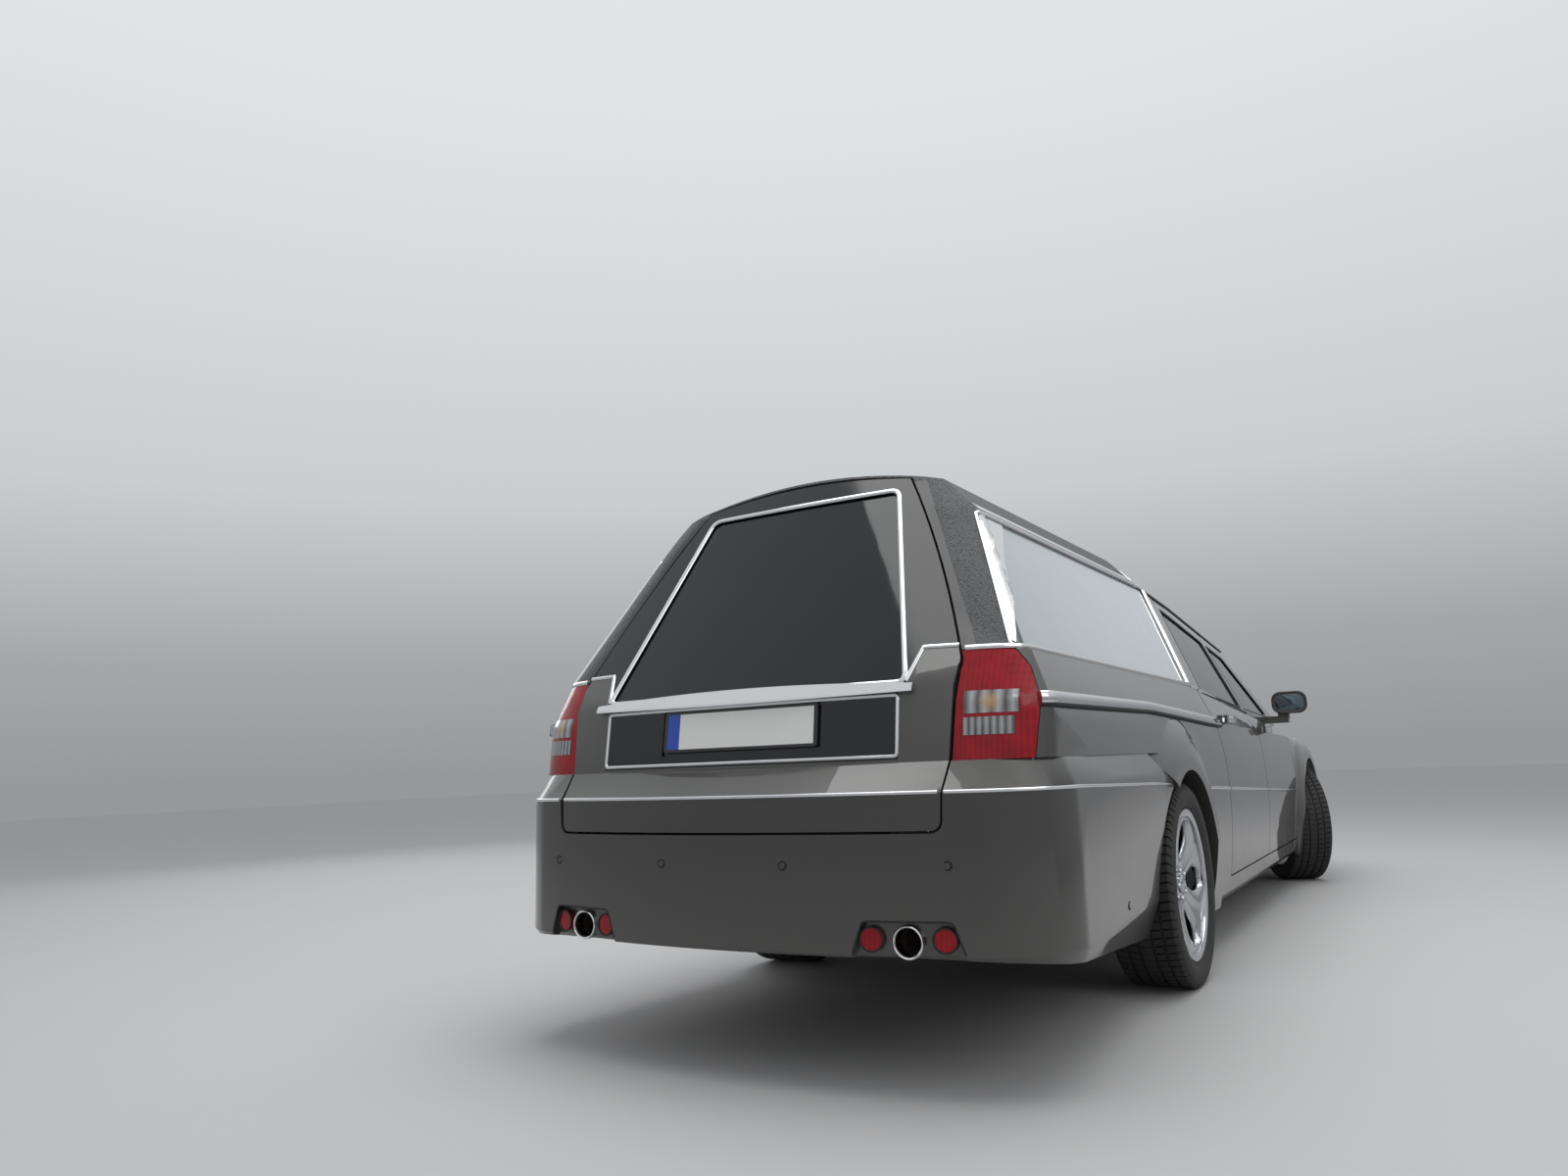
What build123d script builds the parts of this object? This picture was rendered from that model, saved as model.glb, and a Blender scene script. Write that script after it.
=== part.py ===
from build123d import *
import os
from math import cos, radians, sqrt

os.makedirs("parts", exist_ok=True)

# A long-wheelbase hearse, millimetres. X points forward, Y to the left, Z up.
# The origin is on the ground, in the middle of the length and of the width.

# Overall sizes
LENGTH = 6310
REAR_OVERHANG = 1740
WHEELBASE = 3700
TRACK = 1600
BODY_HALF_WIDTH = 942

# Running clearances
SHUT_GAP = 7
SEAT_GAP = 0.3
FRAME_GAP = 6


def fore(station):
    """X of a station, which is measured forward from the rearmost point of the bumper."""
    return station - LENGTH / 2


REAR_AXLE_X = fore(REAR_OVERHANG)
FRONT_AXLE_X = fore(REAR_OVERHANG + WHEELBASE)

# Wheels and tyres
TYRE_RADIUS = 364
TYRE_WIDTH = 245
FLANGE_RADIUS = 272
BEAD_RADIUS = 256
BARREL_WALL = 9
RIM_WIDTH = 216
HUB_RADIUS = 82
HUB_BORE = 35
WHEEL_WINDOWS = 5
WINDOW_RADIUS = 168
WINDOW_LENGTH = 128
WINDOW_WIDTH = 88
KINGPIN_OFFSET = 100
STEER_AT_REST = 27
SPOKE_FACE = 88
SPOKE_DEPTH = 34
HUB_BACK = 6
# Rim barrel: radius, distance outboard of the wheel's middle
RIM_PROFILE = [
    (FLANGE_RADIUS, RIM_WIDTH / 2),
    (FLANGE_RADIUS, RIM_WIDTH / 2 - 7),
    (BEAD_RADIUS, RIM_WIDTH / 2 - 9),
    (BEAD_RADIUS, 9 - RIM_WIDTH / 2),
    (FLANGE_RADIUS, 7 - RIM_WIDTH / 2),
    (FLANGE_RADIUS, -RIM_WIDTH / 2),
    (BEAD_RADIUS - BARREL_WALL, -RIM_WIDTH / 2),
    (BEAD_RADIUS - BARREL_WALL, RIM_WIDTH / 2),
]
DISC_RADIUS = 170
DISC_THICKNESS = 26

# Wheel arches
ARCH_RADIUS = 415
FRONT_FLARE_RADIUS = 548
REAR_FLARE_RADIUS = 632
FLARE_CREST_RADIUS = 455
FLARE_INNER_Y = 866
FLARE_FOOT_Y = 884
FLARE_SWELL = 11
# Outline that the flares are trimmed to, seen along the car: y, z
FLARE_LIMIT = [(800, 204), (884, 204), (908, 300), (944, 500), (944, 1100), (800, 1100)]
# Joint from the rear bumper's top edge down to the wheel opening: station, z
ARCH_JOINT = [(1250, 845), (1600, 689)]

# Walls
DOOR_WALL = 85
DOOR_FRAME_WALL = 42
DOOR_FLANGE = 12
DOOR_STEP = 26
SILL_WALL = 130
PILLAR_WALL = 60
POST_DEPTH = 46
PANEL_WALL = 40
GATE_WALL = 45
GLASS_INSET = 8
GLASS_WALL = 5
GROUND_CLEARANCE = 200
HOOP_DEPTH = 6

# Doors, all stations from the rear
DOOR_BOTTOM = 305
FRONT_DOOR_FRONT = 4878
DOOR_SPLIT = 3748
REAR_DOOR_REAR = 2658
DOOR_TOP_DROP = 30
INNER_SILL_TOP = 400
DOOR_STOPS = (2740, 3640, 3830, 4700)
HOOD_WALL = 34
SIDE_INNER_Y = 545
FENDER_INNER_Y = 430
FIREWALL = 4950
FIREWALL_TOP = 960
HOOD_REAR = 5200
HANDLES = [(3863, 948), (2768, 985)]
HANDLE_Y = 912
MIRROR_STATION = 4440
MIRROR_Y = 984
MIRROR_Z = 1108

# Windscreen: a sheet bent round an axis that leans back with the glass
SCREEN_FOOT = 5180
SCREEN_FOOT_Z = 1005
SCREEN_LEAN = 1.6
SCREEN_BEND_RADIUS = 3500
SCREEN_HALF_WIDTH = 770
SCREEN_TOP_HALF_WIDTH = 560

# Tailgate
# Side edge below the waist: y, z
GATE_FOOT = [(648, 668), (657, 848), (675, 1140)]
GATE_CORNER = 26
# Side edge above the waist: y, distance up the glass
GATE_SHOULDER = [(675, 112), (547, 492), (394, 836)]
GATE_TOP = 873
GATE_OVERLAP = 20

# Rubber stop of the tailgate, on the body beside its opening
STOP_STATION = 266
STOP_Y = 633
STOP_Z = 920

# Body sections: station, sill y, waist y, waist z, shoulder y, shoulder z, belt y, belt z, crown z
BODY_SECTIONS = [
    (-20, 872, 914, 640, 894, 1005, 838, 1142, 1150),
    (2400, 872, 914, 640, 894, 980, 838, 1122, 1130),
    (4880, 872, 916, 610, 892, 915, 802, 1003, 1035),
    (5600, 868, 908, 600, 880, 850, 772, 930, 985),
    (6330, 850, 880, 560, 850, 740, 700, 800, 850),
]

# Cabin and load space sections: station, belt y, belt z, rail y, rail z, haunch y, haunch z, crown z
CABIN_SECTIONS = [
    (-20, 832, 1142, 620, 1612, 500, 1736, 1806),
    (2500, 832, 1130, 620, 1612, 500, 1738, 1802),
    (3100, 831, 1096, 620, 1572, 500, 1686, 1758),
    (3771, 830, 1060, 620, 1511, 500, 1598, 1668),
    (4460, 826, 1030, 618, 1450, 500, 1500, 1545),
    (5300, 822, 1000, 600, 1440, 500, 1470, 1500),
]

# Rear end outlines: z, centre station, corner start (station, y), middle (station, y), end (station, y)
TAIL_OUTLINES = [
    (200, 102, 148, 650, 190, 812, 300, 900),
    (845, 102, 148, 650, 190, 812, 300, 900),
    (1005, 125, 172, 650, 210, 806, 312, 900),
    (1142, 186, 232, 650, 266, 772, 345, 842),
    (1620, 481, 506, 470, 536, 566, 615, 626),
    (1830, 611, 630, 350, 655, 450, 730, 540),
]

# Tailgate outlines: z, centre station, station at GATE_EDGE_Y
GATE_EDGE_Y = 700
GATE_OUTLINES = [
    (600, 2, 86),
    (765, 5, 91),
    (845, 102, 143),
    (1045, 132, 173),
    (1830, 616, 657),
]


# Rear bumper outlines: z, centre station, corner start (station, y), middle (station, y), end (station, y), front y
BUMPER_OUTLINES = [
    (225, 75, 165, 715, 240, 815, 385, 872, 822),
    (355, 0, 92, 750, 176, 868, 330, 940, 868),
    (765, 5, 97, 750, 180, 867, 335, 938, 925),
    (845, 102, 140, 690, 200, 818, 350, 904, 904),
]
BUMPER_LENGTH = 1600
# Bottom edge of the rear bumper: station, z
BUMPER_BOTTOM = [(-50, 349), (70, 349), (270, 322), (1600, 203)]
BUMPER_WALL = 60
RECESS_DEPTH = 24
RECESS_CORNER = 14
RECESS = [(398, 290), (702, 290), (702, 345), (670, 442), (430, 442), (398, 345)]
TIP_Y = 548
TIP_Z = 388
TIP_RADIUS = 42
TIP_STATION = 60
RED_LAMPS_Y = (450, 644)
RED_LAMP_RADIUS = 30
RED_LAMP_PROUD = 14
LAMP_EDGE_Y = 640
TAIL_LAMP_DEPTH = 70

# Number plate and chrome bar on the tailgate
PLATE_WIDTH = 520
PLATE_HEIGHT = 110
PLATE_Z = 961
PLATE_STATION = 119
PLATE_TILT = 0.15
PLATE_POCKET = 14
BAR_DEPTH = 20
BAR_HALF_LENGTH = 560
BAR_END = (1037, 1059)
BAR_MIDDLE = (1032, 1078)
GATE_WINDOW = [(-530, 22), (-362, 786), (362, 786), (530, 22)]

# Front end, stations from the rear
HOOD_EDGE_Z = 806
LAMP_TOP = 799
BUMPER_TOP = 630
LAMP_REAR = 6040
LAMP_INNER_Y = 448
LAMP_DEPTH = 90
FRONT_BUMPER_REAR = 5700
GRILLE_STATION = 6240
GRILLE_DEPTH = 30

# Floor and running gear
FLOOR_Z = 290
FLOOR_TOP = 340
REAR_FLOOR_Z = 540
REAR_FLOOR_TOP = 590
WELL_RADIUS = 440
WELL_WALL = 12
REAR_WELL_Y = 640
FRONT_WELL_Y = 455
RAIL_Y = 413
RAIL_Z = 468
RADIATOR_STATION = 6040
JACK_STATIONS = (2600, 4700)
JACK_Y = 650
JACK_Z = 262
ENGINE_REAR = 5060
ENGINE_FRONT = 5900
ENGINE_BOTTOM = 340
MUFFLER_STATION = 700
MUFFLER_Z = 362
PIPE_RADIUS = 28
PIPE_BEND = 60
# Pipe from the silencer forward and up to the engine: station, y, z
PIPE_ROUTE = [
    (MUFFLER_STATION + 470, 548, MUFFLER_Z - 20),
    (1500, 470, 250),
    (4550, 470, 250),
    (5120, 190, 250),
    (5120, 190, ENGINE_BOTTOM - SEAT_GAP),
]
KINGPIN_Y = TRACK / 2 - KINGPIN_OFFSET
KNUCKLE_HEIGHT = 301.4
LOWER_ARM_Z = 200
UPPER_ARM_Z = 527

FLOOR_PROFILE = [
    (215, 690),
    (255, 690),
    (255, 590),
    (2300, 590),
    (2390, 340),
    (FIREWALL, 340),
    (FIREWALL, FIREWALL_TOP),
    (5000, FIREWALL_TOP),
    (5000, 290),
    (2340, 290),
    (2250, 540),
    (215, 540),
]
SEAT_PROFILE = [
    (60, FLOOR_TOP + SEAT_GAP),
    (400, FLOOR_TOP + SEAT_GAP),
    (420, 410),
    (480, 410),
    (500, 560),
    (120, 520),
    (-60, 1130),
    (-200, 1130),
    (-60, 560),
    (0, 410),
]
HOOD_PLAN = [
    (HOOD_REAR - LENGTH / 2, 735),
    (6100 - LENGTH / 2, 640),
    (6400 - LENGTH / 2, 600),
]

def keep(piece, name):
    """Label a finished piece and write it as one STEP file."""
    piece.part.label = name
    export_step(piece.part, "parts/" + name + ".step")


def cross_plane(station):
    """Plane across the car: local x is Y, local y is Z, and its normal points forward."""
    return Plane(origin=(fore(station), 0, 0), x_dir=(0, 1, 0), z_dir=(1, 0, 0))


def side_plane(y):
    """Plane along the car: local x is X, local y is Z, and its normal points right."""
    return Plane(origin=(0, y, 0), x_dir=(1, 0, 0), z_dir=(0, -1, 0))


def side_outline(points, y, corner=0):
    """Closed outline of (station, z) points seen from the side, at the given y."""
    with BuildSketch(side_plane(y)) as outline:
        with BuildLine():
            Polyline(*[(fore(station), z) for station, z in points], close=True)
        make_face()
        if corner:
            fillet(outline.vertices(), radius=corner)
    return outline.sketch


def rear_outline(points, station, corner=0):
    """Closed outline of (y, z) points and their mirror image, seen along the car."""
    with BuildSketch(cross_plane(station)) as outline:
        with BuildLine():
            Polyline(*points, *[(-y, z) for y, z in reversed(points)], close=True)
        make_face()
        if corner:
            fillet(outline.vertices(), radius=corner)
    return outline.sketch


def body_section(row, inset, drop, floor):
    """Cross-section of the lower body, inset at the sides and dropped at the top."""
    station, sill_y, waist_y, waist_z, shoulder_y, shoulder_z, belt_y, belt_z, crown_z = row
    tuck = 34
    sill = (sill_y - inset, floor + tuck)
    shoulder = (shoulder_y - inset, shoulder_z - drop)
    belt = (belt_y - inset, belt_z - drop)
    crown = (0, crown_z - drop)
    crown_bend = 0.27 * (crown_z - belt_z)
    with BuildSketch(cross_plane(station)) as section:
        with BuildLine():
            Polyline((0, floor), (sill[0] - tuck, floor), sill)
            ThreePointArc(sill, (waist_y - inset, waist_z), shoulder)
            Line(shoulder, belt)
            ThreePointArc(belt, (belt[0] / 2, crown[1] - crown_bend), crown)
            mirror(about=Plane.YZ)
        make_face()
    return section.sketch


def cabin_section(row, inset):
    """Cross-section of the cabin above the belt, inset from its skin."""
    station, belt_y, belt_z, rail_y, rail_z, haunch_y, haunch_z, crown_z = row
    foot_z = 900
    haunch = (haunch_y - 0.7 * inset, haunch_z - 0.7 * inset)
    crown = (0, crown_z - inset)
    with BuildSketch(cross_plane(station)) as section:
        with BuildLine():
            Polyline(
                (0, foot_z), (belt_y - inset, foot_z), (belt_y - inset, belt_z), (rail_y - inset, rail_z), haunch
            )
            ThreePointArc(haunch, (haunch[0] / 2, crown[1] - 0.25 * (crown[1] - haunch[1])), crown)
            mirror(about=Plane.YZ)
        make_face()
    return section.sketch


def end_outline(z, centre, start, middle, end, far, wide):
    """Plan of a rounded end: an arc across the car, a corner arc each side, closed towards far."""
    with BuildSketch(Plane.XY.offset(z)) as plan:
        with BuildLine():
            ThreePointArc((start[0], -start[1]), (centre, 0), start)
            ThreePointArc(start, middle, end)
            Polyline(end, (far, wide), (far, -wide), (end[0], -end[1]))
            ThreePointArc((end[0], -end[1]), (middle[0], -middle[1]), (start[0], -start[1]))
        make_face()
    return plan.sketch


def tail_outline(row, inset):
    """Plan of the body's rear end at one height."""
    z, centre, start_x, start_y, middle_x, middle_y, end_x, end_y = row
    start = (fore(start_x + inset), start_y - 0.4 * inset)
    middle = (fore(middle_x + 0.8 * inset), middle_y - 0.7 * inset)
    end = (fore(end_x + 0.4 * inset), end_y - inset)
    return end_outline(z, fore(centre + inset), start, middle, end, fore(7000), 1100)


def bumper_outline(row, inset, length):
    """Plan of the rear bumper at one height, out to its front ends."""
    z, centre, start_x, start_y, middle_x, middle_y, end_x, end_y, front_y = row
    start = (fore(start_x + inset), start_y - 0.4 * inset)
    middle = (fore(middle_x + 0.8 * inset), middle_y - 0.7 * inset)
    end = (fore(end_x + 0.4 * inset), end_y - inset)
    return end_outline(z, fore(centre + inset), start, middle, end, fore(length), front_y - inset)


def gate_outline(row, inset):
    """Plan of the tailgate's skin at one height, filled towards the front."""
    z, centre, edge = row
    reach = fore(1500)
    left = (fore(edge + inset), GATE_EDGE_Y)
    right = (fore(edge + inset), -GATE_EDGE_Y)
    with BuildSketch(Plane.XY.offset(z)) as plan:
        with BuildLine():
            ThreePointArc(right, (fore(centre + inset), 0), left)
            Polyline(left, (reach, GATE_EDGE_Y), (reach, -GATE_EDGE_Y), right)
        make_face()
    return plan.sketch


def screen_plane(inset):
    """Plane square to the windscreen's lean, its local y pointing into the cabin."""
    size = sqrt(1 + SCREEN_LEAN**2)
    foot = (fore(SCREEN_FOOT) - inset / size, 0, SCREEN_FOOT_Z - inset * SCREEN_LEAN / size)
    return Plane(origin=foot, x_dir=(0, 1, 0), z_dir=(-SCREEN_LEAN, 0, 1))


def gate_plane():
    """Plane on the leaning part of the tailgate, local x to the right, local y up the glass."""
    low, high = GATE_OUTLINES[-2:]
    lean = (high[1] - low[1]) / (high[0] - low[0])
    return Plane(origin=(fore(low[1]), 0, low[0]), x_dir=(0, -1, 0), z_dir=(-1, 0, lean))


def cabin_form(up):
    """The cabin and load space above the belt, inset by up, with the windscreen's bend."""
    with BuildPart() as form:
        loft(sections=[cabin_section(row, up) for row in CABIN_SECTIONS], ruled=True)
        with BuildSketch(screen_plane(up)):
            with BuildLine():
                side = 1000
                sweep_back = side**2 / (2 * SCREEN_BEND_RADIUS)
                ThreePointArc((-side, sweep_back), (0, 0), (side, sweep_back))
                Polyline((side, sweep_back), (side, 5000), (-side, 5000), (-side, sweep_back))
            make_face()
        extrude(amount=7000, both=True, mode=Mode.INTERSECT)
        loft(sections=[tail_outline(row, up) for row in TAIL_OUTLINES], ruled=True, mode=Mode.INTERSECT)
    return form.part


def lower_form(low, drop, floor):
    """The body below the belt, inset by low and dropped at the top, above the given floor."""
    nose = LENGTH - low
    with BuildPart() as form:
        loft(sections=[body_section(row, low, drop, floor) for row in BODY_SECTIONS], ruled=True)
        loft(sections=[tail_outline(row, low) for row in TAIL_OUTLINES], ruled=True, mode=Mode.INTERSECT)
        front = end_outline(
            150,
            -fore(LENGTH - nose),
            (fore(nose - 62), 600),
            (fore(nose - 150), 800 - low),
            (fore(nose - 400), 925 - low),
            fore(-100),
            1100,
        )
        extrude(front, amount=2000, mode=Mode.INTERSECT)
    return form.part


def gate_form(inset):
    """Everything forward of the tailgate's skin, inset from it."""
    with BuildPart() as form:
        loft(sections=[gate_outline(row, inset) for row in GATE_OUTLINES], ruled=True)
    return form.part


def gate_prism(gap):
    """The tailgate's opening grown by gap: square to the car below the waist, square to the glass above."""
    low, middle, high = GATE_SHOULDER
    low_left, middle_left, high_left = [(-y, rise) for y, rise in GATE_SHOULDER]
    with BuildPart() as prism:
        with BuildSketch(cross_plane(-50)):
            with BuildLine():
                Polyline(*GATE_FOOT, *[(-y, z) for y, z in reversed(GATE_FOOT)], close=True)
            make_face()
            fillet(vertices().group_by(Axis.Z)[0], radius=GATE_CORNER)
            if gap:
                offset(amount=gap, kind=Kind.INTERSECTION)
        extrude(amount=600)
        with BuildSketch(gate_plane()):
            with BuildLine():
                Polyline(low_left, (low_left[0], low[1] - GATE_OVERLAP), (low[0], low[1] - GATE_OVERLAP), low)
                ThreePointArc(low, middle, high)
                ThreePointArc(high, (0, GATE_TOP), high_left)
                ThreePointArc(high_left, middle_left, low_left)
            make_face()
            if gap:
                offset(amount=gap, kind=Kind.INTERSECTION)
        extrude(amount=220, both=True)
    return prism.part


def flare(axle_x, foot_radius):
    """The rounded bulge round a left wheel arch."""
    middle = ((foot_radius + FLARE_CREST_RADIUS) / 2, (FLARE_FOOT_Y + BODY_HALF_WIDTH) / 2 + FLARE_SWELL)
    with BuildPart() as bulge:
        with BuildSketch(Plane(origin=(axle_x, 0, TYRE_RADIUS), x_dir=(1, 0, 0), z_dir=(0, 0, 1))):
            with BuildLine():
                ThreePointArc((foot_radius, FLARE_FOOT_Y), middle, (FLARE_CREST_RADIUS, BODY_HALF_WIDTH))
                Polyline(
                    (FLARE_CREST_RADIUS, BODY_HALF_WIDTH),
                    (ARCH_RADIUS, BODY_HALF_WIDTH),
                    (ARCH_RADIUS, FLARE_INNER_Y),
                    (foot_radius, FLARE_INNER_Y),
                    (foot_radius, FLARE_FOOT_Y),
                )
            make_face()
        revolve(axis=Axis((axle_x, 0, TYRE_RADIUS), (0, 1, 0)))
        with BuildSketch(cross_plane(0)):
            with BuildLine():
                Polyline(*FLARE_LIMIT, close=True)
            make_face()
        extrude(amount=LENGTH, mode=Mode.INTERSECT)
    return bulge.part


def arch_cut(axle_x, radius, inner_y):
    """The round space of a left wheel arch."""
    with BuildPart() as cut:
        with BuildSketch(side_plane(1100)):
            with Locations((axle_x, TYRE_RADIUS)):
                Circle(radius)
        extrude(amount=1100 - inner_y)
    return cut.part


def bent_pipe(points, radius, bend):
    """A round pipe along (station, y, z) points, its corners bent to the given radius."""
    with BuildPart() as pipe:
        with BuildLine() as path:
            FilletPolyline(*[(fore(station), y, z) for station, y, z in points], radius=bend)
        with BuildSketch(Plane(origin=path.line @ 0, z_dir=path.line % 0)):
            Circle(radius)
        sweep()
    return pipe.part


def rail_line(station):
    """Height of the roof rail at a station."""
    for low, high in zip(CABIN_SECTIONS, CABIN_SECTIONS[1:]):
        if station <= high[0]:
            return low[4] + (high[4] - low[4]) * (station - low[0]) / (high[0] - low[0])
    return CABIN_SECTIONS[-1][4]


outer_lower = lower_form(0, 0, GROUND_CLEARANCE)
outer_cabin = cabin_form(0)
outer = outer_lower + outer_cabin
cabin_side = Box(fore(FIREWALL) - fore(-100), 2400, 2400, mode=Mode.PRIVATE)
cabin_side = Pos((fore(FIREWALL) + fore(-100)) / 2, 0, 1000) * cabin_side


def room(low, up, floor):
    """The space inside the cabin and load bay, behind walls of the given thickness."""
    return (lower_form(low, 0, floor) & cabin_side) + cabin_form(up)


side_room = room(SILL_WALL, PILLAR_WALL, 150)
fit_room = room(SILL_WALL + SEAT_GAP, PILLAR_WALL + SEAT_GAP, 150)
door_room = room(DOOR_WALL, DOOR_FRAME_WALL, 150)
post_room = room(DOOR_WALL + SHUT_GAP, DOOR_FRAME_WALL + SHUT_GAP, 150)
post_core = room(DOOR_WALL + POST_DEPTH + SHUT_GAP, DOOR_FRAME_WALL + POST_DEPTH + SHUT_GAP, 150)
side_shell = outer - side_room
flange_room = room(DOOR_FLANGE, DOOR_FLANGE, 150)
door_skin = outer - flange_room
door_core = flange_room - door_room
post_shell = post_room - post_core
sill_shell = post_room - side_room
stop_shell = room(DOOR_WALL + SEAT_GAP, DOOR_FRAME_WALL + SEAT_GAP, 150) - room(SILL_WALL - 20, PILLAR_WALL, 150)
fit_lower = lower_form(SILL_WALL + SEAT_GAP, 0, 150)
front_shell = outer_lower - lower_form(PANEL_WALL, HOOD_WALL, 150)
glass_shell = cabin_form(GLASS_INSET) - cabin_form(GLASS_INSET + GLASS_WALL)
gate_shell = gate_form(0) - gate_form(GATE_WALL)
gate_glass_shell = gate_form(GLASS_INSET) - gate_form(GLASS_INSET + GLASS_WALL)
gate_hole = gate_prism(SHUT_GAP)


def door_outline(front, rear_gap):
    """Side view of the front or rear door, its upper rear edge drawn in by rear_gap."""
    if front:
        return [
            (DOOR_SPLIT + SHUT_GAP / 2, DOOR_BOTTOM),
            (FRONT_DOOR_FRONT, DOOR_BOTTOM),
            (FRONT_DOOR_FRONT, 1004),
            (4590, 1225),
            (4290, rail_line(4290) - DOOR_TOP_DROP),
            (DOOR_SPLIT + rear_gap, rail_line(DOOR_SPLIT) - DOOR_TOP_DROP),
            (DOOR_SPLIT + rear_gap, 1060),
            (DOOR_SPLIT + SHUT_GAP / 2, 1060),
        ]
    return [
        (REAR_DOOR_REAR, DOOR_BOTTOM),
        (DOOR_SPLIT - SHUT_GAP / 2, DOOR_BOTTOM),
        (DOOR_SPLIT - SHUT_GAP / 2, rail_line(DOOR_SPLIT) - DOOR_TOP_DROP),
        (3100, rail_line(3100) - DOOR_TOP_DROP),
        (2745 + rear_gap, rail_line(2745) - DOOR_TOP_DROP),
        (2545 + rear_gap, 1104),
        (2590, 960),
        (REAR_DOOR_REAR, 800),
    ]


FRONT_WINDOW = [(3806, 1062), (4690, 1034), (4535, 1185), (4270, 1380), (3806, 1425)]
REAR_WINDOW = [(2640, 1112), (3700, 1066), (3700, 1432), (3100, 1495), (2800, 1528)]
QUARTER_WINDOW = [(292, 1150), (2392, 1140), (2598, 1604), (566, 1604)]


def window_outline(points, inset):
    """A window's outline, drawn in by inset."""
    outline = side_outline(points, 1100, 22)
    with BuildSketch(side_plane(1100)) as drawn:
        add(outline)
    return offset(outline, amount=-inset) if inset else drawn.sketch


BUMPER_SEAT_Z = BUMPER_OUTLINES[-1][0] + SEAT_GAP
SIDE_OUTLINE = [
    (238, BUMPER_SEAT_Z),
    (280, 1023),
    (303, 1090),
    (297, 1146),
    (330, 1146),
    (330, 1152),
    (2386, 1152),
    (2560, 1612),
    (2600, rail_line(2600)),
    (3100, rail_line(3100)),
    (3771, rail_line(3771)),
    (4460, rail_line(4460)),
    (5300, rail_line(4460)),
    (5300, 1010),
    (FRONT_DOOR_FRONT + SHUT_GAP, 1010),
    (FRONT_DOOR_FRONT + SHUT_GAP, 150),
    (REAR_OVERHANG, 150),
    (REAR_OVERHANG, BUMPER_SEAT_Z),
]
ROOF_OUTLINE = [
    (-50, 1146 + SEAT_GAP),
    (320, 1146 + SEAT_GAP),
    (600, 1612 + SEAT_GAP),
    (2560, 1612 + SEAT_GAP),
    (2600, rail_line(2600) + SEAT_GAP),
    (3100, rail_line(3100) + SEAT_GAP),
    (3771, rail_line(3771) + SEAT_GAP),
    (4460, rail_line(4460) + SEAT_GAP),
    (5300, rail_line(4460) + SEAT_GAP),
    (5300, 2000),
    (-50, 2000),
]
HEADER_OUTLINE = [(4000, 1380), (5300, 1380), (5300, 2000), (4000, 2000)]
screen_hole = rear_outline([(SCREEN_HALF_WIDTH, 1026), (SCREEN_TOP_HALF_WIDTH, 1420)], 4150, 40)
plate_plane = Plane(origin=(fore(PLATE_STATION), 0, PLATE_Z), x_dir=(0, -1, 0), z_dir=(-1, 0, PLATE_TILT))
hoop_outline = side_outline([(2400, 1144), (2432, 1144), (2646, 1600), (2614, 1600)], 1100)


with BuildPart() as rim_form:
    with BuildSketch(Plane.XY):
        with BuildLine():
            Polyline(*RIM_PROFILE, close=True)
        make_face()
    revolve(axis=Axis.Y)
    with BuildSketch(side_plane(SPOKE_FACE)):
        Circle(BEAD_RADIUS - 2)
        with PolarLocations(WINDOW_RADIUS, WHEEL_WINDOWS, start_angle=90):
            Ellipse(WINDOW_LENGTH / 2, WINDOW_WIDTH / 2, mode=Mode.SUBTRACT)
    extrude(amount=SPOKE_DEPTH)
    with BuildSketch(side_plane(SPOKE_FACE)):
        Circle(HUB_RADIUS)
    extrude(amount=SPOKE_FACE - HUB_BACK)
    with BuildSketch(side_plane(SPOKE_FACE - 20)):
        Circle(HUB_BORE)
    extrude(amount=200, mode=Mode.SUBTRACT)
wheel_rim = rim_form.part

with BuildPart() as tyre_form:
    with BuildSketch(Plane.XY):
        with BuildLine():
            half = TYRE_WIDTH / 2
            bead = BEAD_RADIUS + SEAT_GAP
            Polyline((TYRE_RADIUS, -half + 22), (TYRE_RADIUS, half - 22))
            ThreePointArc((TYRE_RADIUS, half - 22), (TYRE_RADIUS - 9, half - 6), (TYRE_RADIUS - 30, half - 2))
            ThreePointArc((TYRE_RADIUS - 30, half - 2), (TYRE_RADIUS - 56, half), (FLANGE_RADIUS + 4, half - 16))
            seat_y = RIM_WIDTH / 2 - 10.5
            Polyline(
                (FLANGE_RADIUS + 4, half - 16),
                (FLANGE_RADIUS + 1, seat_y + 1.5),
                (bead, seat_y),
                (bead, -seat_y),
                (FLANGE_RADIUS + 1, -seat_y - 1.5),
                (FLANGE_RADIUS + 4, -half + 16),
            )
            ThreePointArc((FLANGE_RADIUS + 4, -half + 16), (TYRE_RADIUS - 56, -half), (TYRE_RADIUS - 30, -half + 2))
            ThreePointArc((TYRE_RADIUS - 30, -half + 2), (TYRE_RADIUS - 9, -half + 6), (TYRE_RADIUS, -half + 22))
        make_face()
    revolve(axis=Axis.Y)
wheel_tyre = tyre_form.part

with BuildPart() as hub_form:
    with BuildSketch(side_plane(HUB_BACK - SEAT_GAP)):
        Circle(70)
    extrude(amount=KINGPIN_OFFSET + HUB_BACK - 20)
    with BuildSketch(side_plane(SPOKE_FACE - 30)):
        Circle(HUB_BORE - 0.4)
    extrude(amount=60)
    with BuildSketch(side_plane(HUB_BACK - 24)):
        Circle(DISC_RADIUS)
    extrude(amount=DISC_THICKNESS)
hub_end = hub_form.part


def upright(station, half, foot, top):
    """Side view of an upright rectangle centred on a station."""
    return side_outline([(station - half, foot), (station + half, foot), (station + half, top), (station - half, top)], 1100)


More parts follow.
